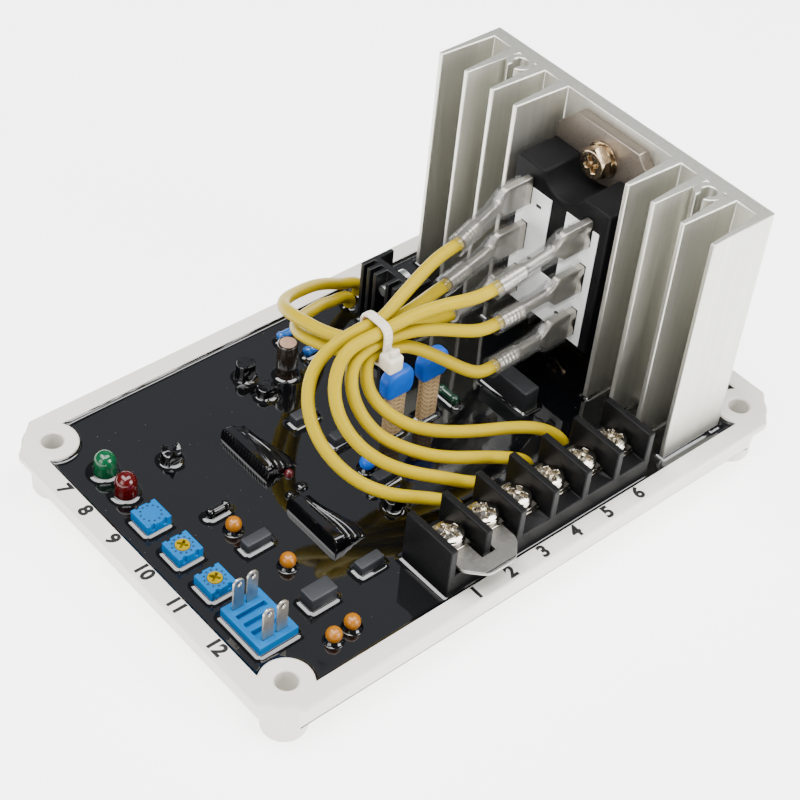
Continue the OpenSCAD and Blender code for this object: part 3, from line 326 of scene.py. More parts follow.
# shrunk film on the can: brown-black gloss round a dull coppery top
finishOf("shrunk_sleeve", "#2a211a", "#17120e", 2, 0.22, 0.06, 0.5, 0.02, Coat_Weight=0.4)
finishOf("coppery_top", "#c9a592", "#a37f6c", 1.2, 0.35, 0.08, 0.3, 0.01, Metallic=0.2)
# black parts that a coat of resin runs over: wet gloss
finishOf("resin_coated_black", "#0a0a0c", "#050506", 2, 0.09, 0.04, 2.5, 0.05, IOR=1.54)
# lacquered bodies: deep colour under a clear gloss
finishOf("blue_lacquer", "#1d5fae", "#124688", 2, 0.22, 0.06, 0.5, 0.03, Coat_Weight=0.4)
finishOf("green_lacquer", "#0c3b27", "#072619", 2, 0.22, 0.06, 0.5, 0.03, Coat_Weight=0.4)
finishOf("red_lacquer", "#5a1418", "#3a0b0e", 1, 0.2, 0.06, 0.5, 0.03, Coat_Weight=0.4)
# moulded box in front of the heat sink: dark grey, nearly matt
finishOf("dark_grey_plastic", "#1f2124", "#151619", 4, 0.5, 0.08, 0.2, 0.02, specular=0.35)
# anodised aluminium: black with faint drawn streaks along Z
finishOf("black_anodised", "#0e0f11", "#070708", 1, 0.42, 0.08, 0.3, 0.015,
         stretch=(1, 1, 0.03), Metallic=0.2)
# tinted epoxy lenses: see-through colour with a wet gloss
finishOf("green_lens", "#0d6a40", "#095230", 3, 0.17, 0.04, 1.5, 0.02, IOR=1.5, Transmission_Weight=0.5)
finishOf("red_lens", "#640508", "#4a0204", 3, 0.17, 0.04, 1.5, 0.02, IOR=1.5, Transmission_Weight=0.5)
# glass-fibre laminate, only seen where the resin is cut away
finishOf("glass_laminate", "#356a48", "#29553a", 3, 0.45, 0.08, 0.5, 0.02)
# printing inks: flat black, and dark blue on the trimmers
finishOf("print_ink", "#0c0c0d", "#070708", 3, 0.55, 0.05, 0.3, 0.004, IOR=1.4)
finishOf("blue_marking", "#011c36", "#01152a", 3, 0.5, 0.05, 0.3, 0.004)

# dust in cells of so many mm, dots as a share of a cell; a braid with pitch and relief in mm
dustSet = {"cell": 2.4, "dot": (0.02, 0.05), "cover": 0.35, "colour": "#8d8c88"}
braidSet = {"pitch": 0.9, "slants": (0.8, -0.8), "shadow": "#7d6544", "relief": 0.15}
wavePeriod = 0.314  # of a Wave texture at scale 1, in metres


def pouredResin():
    # cast epoxy: black with a mirror skin, soft flow lines, and dust drawn coarse enough to show
    k = dustSet
    tree = finishOf("poured_epoxy", "#060709", "#040405", 18, 0.05, 0.02, 9, 0.04, IOR=1.65)
    base = tree.nodes["Principled BSDF"].inputs["Base Color"]
    where = addNode(tree, "TexCoord")
    cells = addNode(tree, "TexVoronoi", {"Scale": 1 / (k["cell"] * mm)}, {"Vector": (where, "Object")})
    limits = {"From Min": k["dot"][0], "From Max": k["dot"][1], "To Min": k["cover"], "To Max": 0.0}
    dots = addNode(tree, "MapRange", limits, {"Value": (cells, "Distance")})
    addNode(tree, "Mix", {"data_type": "RGBA", mixHigh: linear(k["colour"])},
            {mixFactor: (dots, "Result"), mixLow: (base.links[0].from_node, mixResult)}, {mixResult: base})


def wovenFibre():
    # braided glass sleeve: two sets of strands that cross at a slant, on the piece's UV map
    k = braidSet
    tree = finishOf("woven_glass_fibre", "#c2a57a", "#9f8258", 1.2, 0.72, 0.08, 0.3, 0.03)
    inputs = tree.nodes["Principled BSDF"].inputs
    base = inputs["Base Color"]
    where = addNode(tree, "TexCoord")
    strands = []
    for slant in k["slants"]:
        aslant = addNode(tree, "Mapping", {"Rotation": (0, 0, slant)}, {"Vector": (where, "UV")})
        strands.append(addNode(tree, "TexWave", {"Scale": wavePeriod / (k["pitch"] * mm), "Distortion": 0.6},
                               {"Vector": (aslant, "Vector")}))
    braid = addNode(tree, "Math", {"operation": "MAXIMUM"}, {0: (strands[0], "Fac"), 1: (strands[1], "Fac")})
    addNode(tree, "Mix", {"data_type": "RGBA", mixLow: linear(k["shadow"])},
            {mixFactor: (braid, "Value"), mixHigh: (base.links[0].from_node, mixResult)}, {mixResult: base})
    addNode(tree, "Bump", {"Strength": 0.9, "Distance": k["relief"] * mm}, {"Height": (braid, "Value")},
            {"Normal": inputs["Normal"]})


pouredResin()
wovenFibre()
print("materials:", len(finishes))

# camera: its place in mm, and the right, down and forward directions of the picture
cameraSet = {"place": (-226.383, -223.044, 319.408), "right": (0.76034, -0.64523, 0.074573),
             "down": (-0.405607, -0.561341, -0.721373), "forward": (0.507313, 0.518242, -0.68852),
             "lens": 86.702, "shift": (0.02307, 0.00989)}


def setPose(piece, axes, at):
    # axes are the piece's own X, Y and Z directions, and at is its place in metres
    pose = np.eye(4)
    pose[:3, :3] = stack(axes, 1)
    pose[:3, 3] = at
    piece.matrix_world = Matrix(pose.tolist())
    bpy.context.scene.collection.objects.link(piece)


eye = bpy.data.cameras.new("eye")
eye.sensor_width = 36
eye.lens = cameraSet["lens"]
eye.shift_x, eye.shift_y = cameraSet["shift"]
eye.clip_start = 0.01
eyeObject = bpy.data.objects.new("eye", eye)
setPose(eyeObject, [cameraSet["right"], -array(cameraSet["down"]), -array(cameraSet["forward"])],
        array(cameraSet["place"]) * mm)
bpy.context.scene.camera = eyeObject

# tray, heat sink and plain mouldings
softEdges = {  # node: finish, edge radius in mm, record slot, and a corner radius where it has one
    "tray": ("satin_abs", 0.45, "tray_plastic"), "heat_sink": ("drawn_aluminium", 0.25, "aluminium"),
    "module_base": ("nickel_base_plate", 0.25, "nickel_plate"),
    "module_case": ("black_moulding", 0.5, "case_plastic"),
    "terminal_body": ("black_phenolic", 0.3, "block_plastic"),
    "terminal_plates": ("nickel_steel", 0.12, "tinned_brass"),
    "terminal_washers": ("nickel_steel", 0.15, "nickel_steel"),
    "shorting_link": ("rolled_sheet", 0.15, "tinned_brass", 1.3),
    **{"trimmer_" + end: ("blue_thermoplastic", 0.15, "blue_plastic") for end in ("sealed", "middle", "end")},
    "selector_block": ("blue_thermoplastic", 0.18, "blue_plastic"),
    "selector_tabs": ("tinned_brass", 0.08, "tinned_brass"),
    "small_heat_sink": ("black_anodised", 0.15, "black_anodised"),
    "power_transistor": ("black_moulding", 0.2, "coated_black"),
    "power_transistor_screw": ("zinc_steel", 0.12, "zinc_steel"),
}
for node, (finish, width, *slotAndCorner) in softEdges.items():
    softCopy(node, finish, width, *slotAndCorner)
plainNodes = {"circuit_board": "glass_laminate", "heat_sink_screws": "zinc_steel",
              "module_label": "label_film", "module_tabs": "tinned_brass", "lead_pins": "tinned_brass"}
for node, finish in plainNodes.items():
    dress(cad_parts[node].data, finish)
print("mouldings:", len(softEdges), "rounded,", len(plainNodes), "plain")

# resin: half sizes of the tub, round lands in its corners, the film on its walls by height and fall-off,
# and slow swells by height, then length and phase along x and y
resinSet = {"low": 6.0, "half": (71.65, 45.6), "counts": (240, 160), "crowd": 0.8, "land": 6.0,
            "landAt": (67.75, 42.0), "landLap": 0.05, "cornerReach": 17.0, "wallBank": (0.75, 0.36),
            "swells": ((0.05, 9.1, 1.3, 7.3, 0), (0.03, 4.3, 0, 5.1, 0.4))}
# a collar that climbs each standing part: banks by height and fall-off, reach in fall-offs
collarSet = {"bank": (0.6, 0.9), "beadBank": (1.5, 0.6), "reach": 1.7, "steps": 14, "crowd": 1.4,
             "inside": 0.25, "under": 0.4}


def feet(places, hx, hy, r):
    # what stands in the resin, for parts of one size: middle x, y, half sizes and corner radius
    return [[x, y, hx, hy, r] for x, y in places]


sinkY = 28.3  # middle of the small heat sink
standing = (
    feet([(57.85, 0)], 1.8, 43, 0.2)  # main heat sink: plate, fins and screw ports
    + feet([(48.35, s * y) for y in (17.55, 25.15, 33.75, 42.1) for s in bothSides], 7.7, 1.0, 0.3)
    + feet([(53.65, s * 29.45) for s in bothSides], 3.3, 3.3, 3.3)
    + feet([(3.1, -37.45)], 30.3, 7.25, 0.3)  # terminal block
    + feet(spots["trimmers"], 3.15, 3.15, 0.6) + feet([spots["selector"]], 5, 6.7, 0.4)
    + feet(spots["lamps"], 2.9, 2.9, 2.9) + feet(spots["films"], 3.3, 1.4, 0.4)
    + feet([spots["greyBox"]], 3.5, 2.1, 0.4) + feet([spots["can"]], 2.5, 2.5, 2.5)
    + feet(spots["transistors"], 2.3, 2.3, 2.3) + feet([spots["diode"]], 3.0, 1.1, 1.0)
    + feet(spots["blueBodies"], 3.2, 1.0, 1.0) + feet([spots["greenBody"]], 1.0, 3.2, 1.0)
    + feet(spots["discs"], 2.8, 1.1, 0.8) + feet([spots["darkBox"]], 2.35, 7.3, 0.5)
    + feet([(19.35, sinkY)], 0.8, 6.2, 0.2)  # small heat sink: plate, end fins and inner fins
    + feet([(19.85, sinkY + s * 6.75) for s in bothSides], 4.7, 0.55, 0.2)
    + feet([(17.3, sinkY + s * y) for y in (2.15, 4.45) for s in bothSides], 2.1, 0.55, 0.2)
    + feet(spots["leadPins"], 1.45, 1.45, 1.45))
beadFeet = feet([*spots["orangeBeads"], spots["blueBead"]], 1.4, 1.4, 1.4)


def resinHeight(x, y):
    # level with slow swells, plus a film on the walls whose height falls off as the exponential of the gap
    k = resinSet
    wall = minimum(k["half"][0] - abs(x), k["half"][1] - abs(y))
    land = np.hypot(abs(x) - k["landAt"][0], abs(y) - k["landAt"][1]) - k["land"]
    film = k["wallBank"][0] * exp(-maximum(minimum(wall, land), 0) / k["wallBank"][1])
    swell = sum(tall * sin(x / lx + px) * sin(y / ly + py) for tall, lx, px, ly, py in k["swells"])
    return resinLevel + film + swell


def footOutline(hx, hy, r, arcSteps=6, sideSteps=6):
    # a rounded rectangle as points and outward directions: an arc at each corner and even steps between
    turn = linspace(0, pi / 2, arcSteps + 1) + np.arange(4)[:, None] * pi / 2
    arcAim = stack([cos(turn), sin(turn)], -1)
    middle = array([[1, 1], [-1, 1], [-1, -1], [1, -1]]) * [hx - r, hy - r]
    arc = middle[:, None] + r * arcAim
    w = linspace(0, 1, sideSteps + 2)[1:-1, None]
    side = arc[:, -1:] * (1 - w) + np.roll(arc, -1, axis=0)[:, :1] * w
    sideAim = np.broadcast_to(arcAim[:, -1:], side.shape)
    return concatenate([arc, side], 1).reshape(-1, 2), concatenate([arcAim, sideAim], 1).reshape(-1, 2)


def collar(cx, cy, hx, hy, r, bank):
    # a bank whose height falls off as the exponential of the gap, carried round the part's foot;
    # its loop is closed under the resin
    k = collarSet
    tall, fade = bank
    points, aims = footOutline(hx, hy, r)
    gap = k["reach"] * fade * linspace(1, 0, k["steps"]) ** k["crowd"]
    rise = tall * (exp(-gap / fade) - exp(-k["reach"]))
    gap = np.r_[gap, -k["inside"], -k["inside"], gap[0]]
    rise = np.r_[rise, rise[-1], -k["under"], -k["under"]]
    xy = points[:, None] + gap[:, None] * aims[:, None] + [cx, cy]
    z = resinHeight(xy[..., 0], xy[..., 1]) + rise
    return concatenate([xy, z[..., None]], -1), True, True, noEnds


def pourResin():
    # a grid over the tub, closer at the walls; near each corner the rays from the corner are stretched
    # so that they start at the land's arc
    k = resinSet
    hx, hy = k["half"]
    lx, ly = hx - k["landAt"][0], hy - k["landAt"][1]
    even = [linspace(-1, 1, n) for n in k["counts"]]
    across, along = [(1 - k["crowd"]) * u + k["crowd"] * sin(pi * u / 2) for u in even]
    x, y = np.meshgrid(hx * across, hy * along)
    for sx, sy in ((-1, -1), (-1, 1), (1, -1), (1, 1)):
        dx, dy = hx - sx * x, hy - sy * y
        far = np.hypot(dx, dy)
        some = maximum(far, 1e-9)
        ux, uy = [np.where(far > 1e-9, d / some, np.sqrt(0.5)) for d in (dx, dy)]
        toLand = ux * lx + uy * ly
        arc = toLand + np.sqrt(maximum(toLand**2 - lx**2 - ly**2 + k["land"] ** 2, 0)) - k["landLap"]
        moved = arc + far * (1 - arc / k["cornerReach"])
        near = far < k["cornerReach"]
        x, y = np.where(near, sx * (hx - ux * moved), x), np.where(near, sy * (hy - uy * moved), y)
    top = stack([x, y, resinHeight(x, y)], -1)
    top[[0, 0, -1, -1], [0, -1, 0, -1]] = top[[1, 1, -2, -2], [1, -2, 1, -2]]  # no face across a land
    edge = concatenate([top[0, :-1], top[:-1, -1], top[-1, :0:-1], top[:0:-1, 0]])
    low = np.where(array([0, 0, 1]), k["low"], edge)
    return [(top, False, False, noEnds), (stack([edge, low]), False, True, lastEnd)]


collars = [collar(*foot, collarSet["bank"]) for foot in standing]
collars += [collar(*foot, collarSet["beadBank"]) for foot in beadFeet]
resin = addPiece("resin_pour", pourResin() + collars, "poured_epoxy", "potting_resin", smooth=75)
print("resin:", len(resin.data.polygons), "faces")

# leads
leadSet = {"diameter": 2.9, "stations": 150, "sides": 24}
spadeRoot = array([[41.05, s * 9.6, z] for s in (1, -1) for z in (57, 44, 31)])
barrelEnd = spadeRoot + array([[-25.5, -4.4, -1.2], [-25.5, -2.2, -1.4], [-25.5, -4.8, 4.4],
                               [-25.5, 1.2, -4], [-25.5, -0.4, -0.2], [-25.5, -1, 0.4]])
routes = {  # node: its spade, and points from the barrel to above its pin, through the tie at x = -12
    "field_lead_1": (0, [
        [9, 4.6, 55.2], [2, 3.4, 53.4], [-5, 2.2, 50.6], [-9.5, 1.6, 49], [-14.5, 1.6, 49], [-20, 2.6, 47.2],
        [-25.6, 3, 43.2], [-29.4, 0.8, 38.2], [-31, -3.4, 32.8], [-30.2, -9.2, 27.6], [-27.4, -15.4, 24],
        [-22.4, -21, 21.8], [-16, -25.2, 20.2], [-11, -27.4, 17.6], [-9, -27.8, 15]]),
    "field_lead_2": (3, [
        [10.5, -7.8, 52.2], [3, -4.8, 51.2], [-4, -2.4, 49.8], [-9.5, -1.6, 49], [-14.5, -1.6, 49],
        [-20.5, -1.2, 47.8], [-25, -2.6, 43], [-26.6, -5.8, 37.4], [-25.4, -10.2, 31.6], [-22, -14.8, 27.2],
        [-16.8, -19.6, 24.2], [-10.4, -24, 22], [-4.2, -26.8, 19.2], [0.5, -27.8, 15.4]]),
    "field_lead_3": (4, [
        [10.5, -9.8, 44], [3, -6.2, 45.2], [-4, -2.8, 45.9], [-9.5, -1.6, 45.9], [-15.4, -1.6, 45.9],
        [-19, -1.9, 44.3], [-21.4, -4.1, 39.5], [-21, -7.2, 34.2], [-19, -10.8, 30], [-15, -14.8, 26.8],
        [-8.6, -19.8, 24.2], [-0.6, -23.8, 22.4], [7, -26.4, 19.8], [12, -27.8, 15.6]]),
    "field_lead_4": (5, [
        [11, -10.6, 31.8], [5.4, -7.8, 34.8], [-0.6, -4, 39.2], [-5.4, -2.2, 41.8], [-9.5, -1.6, 42.8],
        [-14.8, -1.6, 42.8], [-16.3, -2.7, 40.2], [-16.6, -4.9, 36.3], [-14.8, -8.4, 32.4],
        [-11, -12.4, 29.2], [-3.2, -17, 26.4], [6.4, -20.2, 24], [15.6, -23, 21.6], [21.4, -26, 18.6],
        [23.5, -27.6, 15.4]]),
    "gate_lead_1": (1, [
        [10.5, 6.6, 42.7], [1, 3.2, 45.4], [-9.5, 1.6, 45.9], [-14.8, 1.6, 45.9], [-17.2, 5.2, 45.2],
        [-18.6, 10, 44.4], [-19, 15, 43.4], [-18.4, 20.6, 41.6], [-16, 26.2, 38.8], [-11, 31, 35.2],
        [-4, 35, 31], [4, 38.6, 26.4], [11, 41, 21.8], [17, 42.2, 18.2], [21, 42.4, 15.6]]),
    "gate_lead_2": (2, [
        [9, 4.2, 37.2], [0, 2.4, 41], [-9.5, 1.6, 42.8], [-14.8, 1.6, 42.8], [-17, 4.9, 41.6],
        [-18.4, 10, 40.4], [-18.6, 15.2, 38.8], [-16.6, 20.6, 36.2], [-11.4, 26, 32.4], [-3.6, 31, 27.6],
        [4, 35.4, 22.8], [10, 38.6, 18.6], [14.6, 39.8, 16.6], [16.4, 40, 15]]),
}
for (node, (spade, points)), pin in zip(routes.items(), spots["leadPins"]):
    path = splinePath([barrelEnd[spade], *points, (*pin, resinLevel)], leadSet["stations"])
    addPiece(node + "_run", [tube(path, leadSet["diameter"] / 2, leadSet["sides"])], "yellow_vinyl",
             node, 60)
print("leads:", len(routes))

# spade ends and their sleeves: ribs by height and pitch, the groove by depth and width
spadeSet = {"mouth": 0.5, "box": 8.6, "halfTall": 3.85, "halfWide": 1.1, "neckTall": 1.5, "neckWide": 0.95,
            "barrel": 1.95, "bend": 8.5, "bare": 2.4, "over": 2.0, "skin": 0.45, "wall": 0.32,
            "rib": (0.05, 1.1), "groove": (0.75, 0.6), "wave": 0.03}
boxEnd = spadeSet["mouth"] + spadeSet["box"]


def spadePath(i, start, past, step=0.25):
    # straight out of the tab, then along the line to the barrel's end, with the bend eased over 3 mm
    k = spadeSet
    slant = barrelEnd[i] - spadeRoot[i] + array([k["bend"], 0, 0])
    last = k["bend"] + norm(slant)
    s = np.arange(start, last + past + 0.01, step)
    lead = minimum(s, k["bend"])[:, None] * array([-1.0, 0, 0])
    path = spadeRoot[i] + lead + maximum(s - k["bend"], 0)[:, None] * unit(slant)
    ease = exp(-linspace(-2, 2, 13) ** 2)
    wide = np.pad(path, ((6, 6), (0, 0)), mode="reflect", reflect_type="odd")
    path = stack([np.convolve(wide[:, j], ease / ease.sum(), "valid") for j in range(3)], 1)
    return s, path, last


def ovalRings(path, tall, wide, square, groove=None, sides=56):
    # rings that go from a rounded oblong to a circle: powers of sine and cosine, with an optional groove
    turn = onceRound(sides)
    ups, asides = carriedFrames(path)
    up = tall[:, None] * signedPower(sin(turn), square[:, None])
    side = wide[:, None] * signedPower(cos(turn), square[:, None])
    if groove is not None:
        side = groove(up, side)
    return path[:, None] + up[..., None] * ups[:, None] + side[..., None] * asides[:, None]


def spadeEnd(i):
    # a flat box that narrows to a neck and opens into a ribbed crimp barrel
    k = spadeSet
    s, path, last = spadePath(i, k["mouth"], 0)
    toNeck, toBarrel = smoothStep(s, boxEnd - 1.2, boxEnd + 2.2), smoothStep(s, last - 7.6, last - 6.2)
    ribTall, ribPitch = k["rib"]
    ribs = ribTall * cos(2 * pi * (s - last + 5) / ribPitch) * (s > last - 5.5) * (s < last - 1)
    tall, wide = [half + (neck - half) * toNeck for half, neck in
                  ((k["halfTall"], k["neckTall"]), (k["halfWide"], k["neckWide"]))]
    tall, wide = [size + (k["barrel"] - size) * toBarrel - ribs * toBarrel for size in (tall, wide)]
    square = 0.3 + 0.7 * maximum(toBarrel, 0.4 * toNeck)
    inner = -1 if i < 3 else 1

    def curl(up, side):
        # the two rolled edges meet in a groove on the side that faces the module's middle
        deep, half = k["groove"]
        depth = deep * (1 - toNeck)[:, None] * exp(-((up / half) ** 2)) * (side * inner < 0)
        return side * (1 - depth)

    return ovalRings(path, tall, wide, square, curl), False, True, bothEnds


def sleeveShell(i):
    # a thin wall round the spade's end that slims from the box to the barrel
    k = spadeSet
    s, path, _ = spadePath(i, k["mouth"] + k["bare"], k["over"])
    slim = smoothStep(s, boxEnd - 0.6, boxEnd + 4.5)
    tall, wide = [half + k["skin"] + (k["barrel"] - half) * slim for half in (k["halfTall"], k["halfWide"])]
    wave = k["wave"] * sin(s * 1.3 + i) * slim
    square = 0.22 + 0.78 * slim
    outer = ovalRings(path, tall + wave, wide + wave, square)
    inner = ovalRings(path, tall + wave - k["wall"], wide + wave - k["wall"], square)
    return concatenate([outer, inner[::-1]]), True, True, noEnds


addPiece("spade_ends", [spadeEnd(i) for i in range(6)], "tinned_brass", "spade_receptacles",
         smooth=60)
addPiece("vinyl_sleeves", [sleeveShell(i) for i in range(6)], "clear_vinyl", "spade_sleeves",
         smooth=85)
print("spade ends:", len(spadeRoot))

# cable tie: its head and stub by middle, half sizes, rounding and steps
tieSet = {"x": -12.0, "z": 45.9, "halfY": 3.9, "halfZ": 5.4, "round": 2.3, "width": 2.2, "thick": 0.8,
          "tooth": 0.9, "toothHeight": 0.14,
          "head": ((-12.0, -5.5, 43.35), (2.0, 2.1, 2.1), 0.8, 4),
          "stub": ((-12.0, -6.3, 46.1), (1.2, 0.5, 0.9), 0.3, 2)}


def tieLoop(stations=220, arcSteps=13, sides=28):
    # a flat oblong section carried round a rounded rectangle, with small teeth on its outer face
    k = tieSet
    quarter = linspace(0, pi / 2, arcSteps)
    arc = concatenate([quarter + q * pi / 2 for q in range(4)])
    sideY = np.repeat([1, -1, -1, 1], arcSteps) * (k["halfY"] - k["round"])
    sideZ = np.repeat([1, 1, -1, -1], arcSteps) * (k["halfZ"] - k["round"])
    loop = stack([sideY + k["round"] * cos(arc), sideZ + k["round"] * sin(arc)], 1)
    closed = np.vstack([loop, loop[:1]])
    run = np.r_[0, np.cumsum(norm(np.diff(closed, axis=0), axis=1))]
    s = linspace(0, run[-1], stations, endpoint=False)
    y, z = np.interp(s, run, closed[:, 0]), np.interp(s, run, closed[:, 1])
    ny, nz = np.interp(s, run, np.r_[cos(arc), 1.0]), np.interp(s, run, np.r_[sin(arc), 0.0])
    turn = onceRound(sides)
    across = k["width"] / 2 * signedPower(cos(turn), 0.35)
    out = k["thick"] / 2 * signedPower(sin(turn), 0.6)
    teeth = k["toothHeight"] * (1 - 2 * abs((s / k["tooth"]) % 1 - 0.5))
    band = (sin(turn) > 0.5) * (abs(across) < 0.9)
    lift = out + teeth[:, None] * band
    grid = stack([k["x"] + across + 0 * lift, y[:, None] + lift * ny[:, None],
                  k["z"] + z[:, None] + lift * nz[:, None]], -1)
    return grid, True, True, noEnds


addPiece("tie_strap", [tieLoop(), roundedBox(*tieSet["head"]), roundedBox(*tieSet["stub"])], "natural_nylon",
         "cable_tie")
print("tie: 1")

# screws: profiles are radius and height pairs of the shank with its washer or flange
crossSet = {"width": 1.1, "depth": 1.3, "soft": 0.15, "within": 0.92}
headSet = {"dome": 0.28, "edge": (0.95, 0.98, 1, 1, 1), "edgeTall": (0.7, 0.58, 0.42, 0.1, 0),
           "turnedFrom": 0.82, "turnedSlope": 0.6}  # the last two are of a flat top
poleSet = {"y": -37.7, "seats": (21.8, 21.8, 21.0, 21.0, 21.0, 21.0), "turns": (12, 50, 33, 70, 20, 58),
           "head": 7.0, "tall": 2.35, "cross": 4.6, "under": 0.45, "profile": [
               (1.7, -5.0), (1.7, 0.0), (3.1, 0.0), (3.25, 0.1), (3.25, 0.36), (3.1, 0.46), (1.7, 0.46)]}
flangeSet = {"x": 53.05, "heights": (66.0, 22.0), "flats": 7.0, "tall": 2.7, "cross": 4.4, "under": 1.1,
             "turn": 0.5, "profile": [
                 (1.9, -6.5), (1.9, 0), (4.4, 0.0), (4.5, 0.1), (4.5, 0.4), (4.4, 0.5), (3.6, 0.5),
                 (3.7, 0.55), (3.7, 1.0), (3.6, 1.1), (1.9, 1.1)]}


def crossHead(origin, head, tall, cross, angle, low=0.0, outline=None, rings=26, sides=96, **axes):
    # a head on a polar grid: a dome with a rolled edge, or a flat top with corners turned off at a slope,
    # less a cross that is sunk where either of its arms passes
    k = headSet
    turn = onceRound(sides)
    flat = linspace(0.02, 0.9, rings)
    s = np.r_[flat, k["edge"]]
    shape = np.ones(sides) if outline is None else outline(turn)
    x, y = s[:, None] * head / 2 * cos(turn) * shape, s[:, None] * head / 2 * sin(turn) * shape
    crown = tall * np.r_[1 - k["dome"] * flat**2.2, k["edgeTall"]][:, None] + 0 * x
    if outline is not None:
        crown = tall - k["turnedSlope"] * maximum(np.hypot(x, y) - k["turnedFrom"] * head / 2, 0)
        crown[-2:] = tall * array(k["edgeTall"][-2:])[:, None]
    half, arm, soft = crossSet["width"] / 2, cross / 2, crossSet["soft"]

    def bar(across, along):
        inArm = 1 - smoothStep(abs(across), half - soft, half + soft)
        return inArm * (1 - smoothStep(abs(along), arm - 0.5, arm + 0.1))

    px, py = turnedAxes(x, y, angle)
    sunk = crossSet["depth"] * maximum(bar(px, py), bar(py, px))
    z = low + crown - np.where(s[:, None] < crossSet["within"], sunk, 0)
    return place(stack([x, y, z], -1), origin, **axes), False, True, bothEnds


def hexagon(turn):
    # a hexagon's radius by angle, as a share of the radius at its corners
    return cos(pi / 6) / cos((turn + pi / 6) % (pi / 3) - pi / 6)


def poleScrew(x, seat, angle):
    k = poleSet
    head = crossHead((x, k["y"], seat + k["under"]), k["head"], k["tall"], k["cross"], np.radians(angle))
    return [head, revolve(k["profile"], (x, k["y"], seat))]


def flangeScrew(z):
    # lies along X, with its head towards the front
    k = flangeSet
    axes = dict(ax=(0, -1, 0), ay=(0, 0, 1), az=(-1, 0, 0))
    head = crossHead((k["x"], 0, z), k["flats"] / cos(pi / 6), k["tall"], k["cross"], k["turn"],
                     k["under"], hexagon, **axes)
    return [head, revolve(k["profile"], (k["x"], 0, z), **axes)]


poleScrews = [poleScrew(*row) for row in zip(poleX, poleSet["seats"], poleSet["turns"])]
flangeScrews = [flangeScrew(z) for z in flangeSet["heights"]]
addPiece("pole_screws", sum(poleScrews, []), "nickel_steel", "terminal_screws")
addPiece("flange_screws", sum(flangeScrews, []), "warm_nickel", "module_screws")
print("screws:", len(poleScrews) + len(flangeScrews))

# lamps: posts are a shift in x, the middle's height, half sizes and rounding
lampSet = {"radius": 2.5, "low": 10.2, "tall": 8.6,
           "posts": ((-0.6, 2.6, (0.45, 0.6, 2.5), 0.15), (0.8, 2.4, (0.25, 0.4, 2.3), 0.1))}


def lampLens(x, y):
    # a collar, a straight wall and a half sphere on top
    r, shoulder = lampSet["radius"], lampSet["tall"] - lampSet["radius"]
    dome = linspace(0, pi / 2, 14)
    wall = [(0.01, 0), (r + 0.4, 0), (r + 0.4, 0.9), (r + 0.3, 1.0), (r, 1.0), (r, shoulder)]
    profile = concatenate([wall, stack([r * cos(dome) + 0.001, shoulder + r * sin(dome)], 1)])
    return revolve(profile, (x, y, lampSet["low"]))


greenSpot, redSpot = spots["lamps"]
addPiece("green_lamp_lens", [lampLens(*greenSpot)], "green_lens", "lamp_green")
addPiece("red_lamp_lens", [lampLens(*redSpot)], "red_lens", "lamp_red")
addPiece("lamp_posts", [roundedBox((x + shift, y, lampSet["low"] + rise), half, edge, 1)
                        for x, y in spots["lamps"] for shift, rise, half, edge in lampSet["posts"]],
         "tinned_brass")

# rotors, and the dots round the top of each trimmer
rotorSet = {"radius": 1.65, "low": 14.65, "top": 16.1, "slot": 0.5, "soft": 0.05, "arm": 1.25, "arrow": 0.45,
            "depth": 1.1}
tickSet = {"radius": 2.3, "z": 15.8, "angles": np.radians(np.arange(15, 360, 30)),
           "profile": [(0.26, -0.05), (0.26, 0.01), (0.18, 0.02), (0.01, 0.02)]}


def rotorDisc(cx, cy, angle, rings=44, sides=120):
    # a flat disc on a polar grid with a cross slot; one arm ends in an arrow
    k = rotorSet
    turn = onceRound(sides)
    r = concatenate([linspace(0.01, 0.92, rings), [0.97, 1.0, 1.0]]) * k["radius"]
    top = concatenate([np.full(rings, k["top"]), [k["top"] - 0.05, k["top"] - 0.15, k["low"]]])
    x, y = r[:, None] * cos(turn), r[:, None] * sin(turn)
    a, b = turnedAxes(x, y, angle)

    def bar(across, along):
        half = k["slot"] / 2
        inSlot = 1 - smoothStep(abs(across), half - k["soft"], half + k["soft"])
        return inSlot * (abs(along) < k["arm"])

    arrow = (a > k["arrow"]) * (1 - smoothStep(abs(b) + 0.75 * (a - k["arrow"]), 0.5, 0.6))
    sunk = k["depth"] * maximum(maximum(bar(a, b), bar(b, a)), arrow)
    z = top[:, None] - np.where(r[:, None] < 0.93 * k["radius"], sunk, 0)
    return stack([cx + x, cy + y, z], -1), False, True, bothEnds


_, middleSpot, endSpot = spots["trimmers"]
addPiece("middle_rotor_disc", [rotorDisc(*middleSpot, 0.6)], "yellow_thermoplastic", "rotor_middle",
         body="middle_rotor")
addPiece("end_rotor_disc", [rotorDisc(*endSpot, 2.2)], "yellow_thermoplastic", "rotor_end",
         body="end_rotor")
ticks = [(x + cos(t) * tickSet["radius"], y + sin(t) * tickSet["radius"], tickSet["z"])
         for x, y in spots["trimmers"] for t in tickSet["angles"]]
addPiece("trimmer_ticks", [revolve(tickSet["profile"], at, count=10) for at in ticks], "blue_marking")
print("lamps and rotors: 4")

# board components
beadSet = {"radius": 1.8, "neck": [(0.9, 0.0), (0.95, 0.5)]}


def dippedBead(x, y):
    # a drop on a short neck: an egg that narrows to its stem
    r = beadSet["radius"]
    t = linspace(0, pi, 22)[5:]
    egg = stack([r * sin(t) ** 0.9 + 0.01, r * (1 - cos(t)) * 0.98 + 0.1], 1)
    return revolve(concatenate([beadSet["neck"], egg]), (x, y, resinLevel), count=32)


addPiece("orange_beads", [dippedBead(*at) for at in spots["orangeBeads"]], "orange_epoxy",
         "bead_capacitors")
addPiece("blue_drop", [dippedBead(*spots["blueBead"])], "blue_epoxy", "blue_bead")

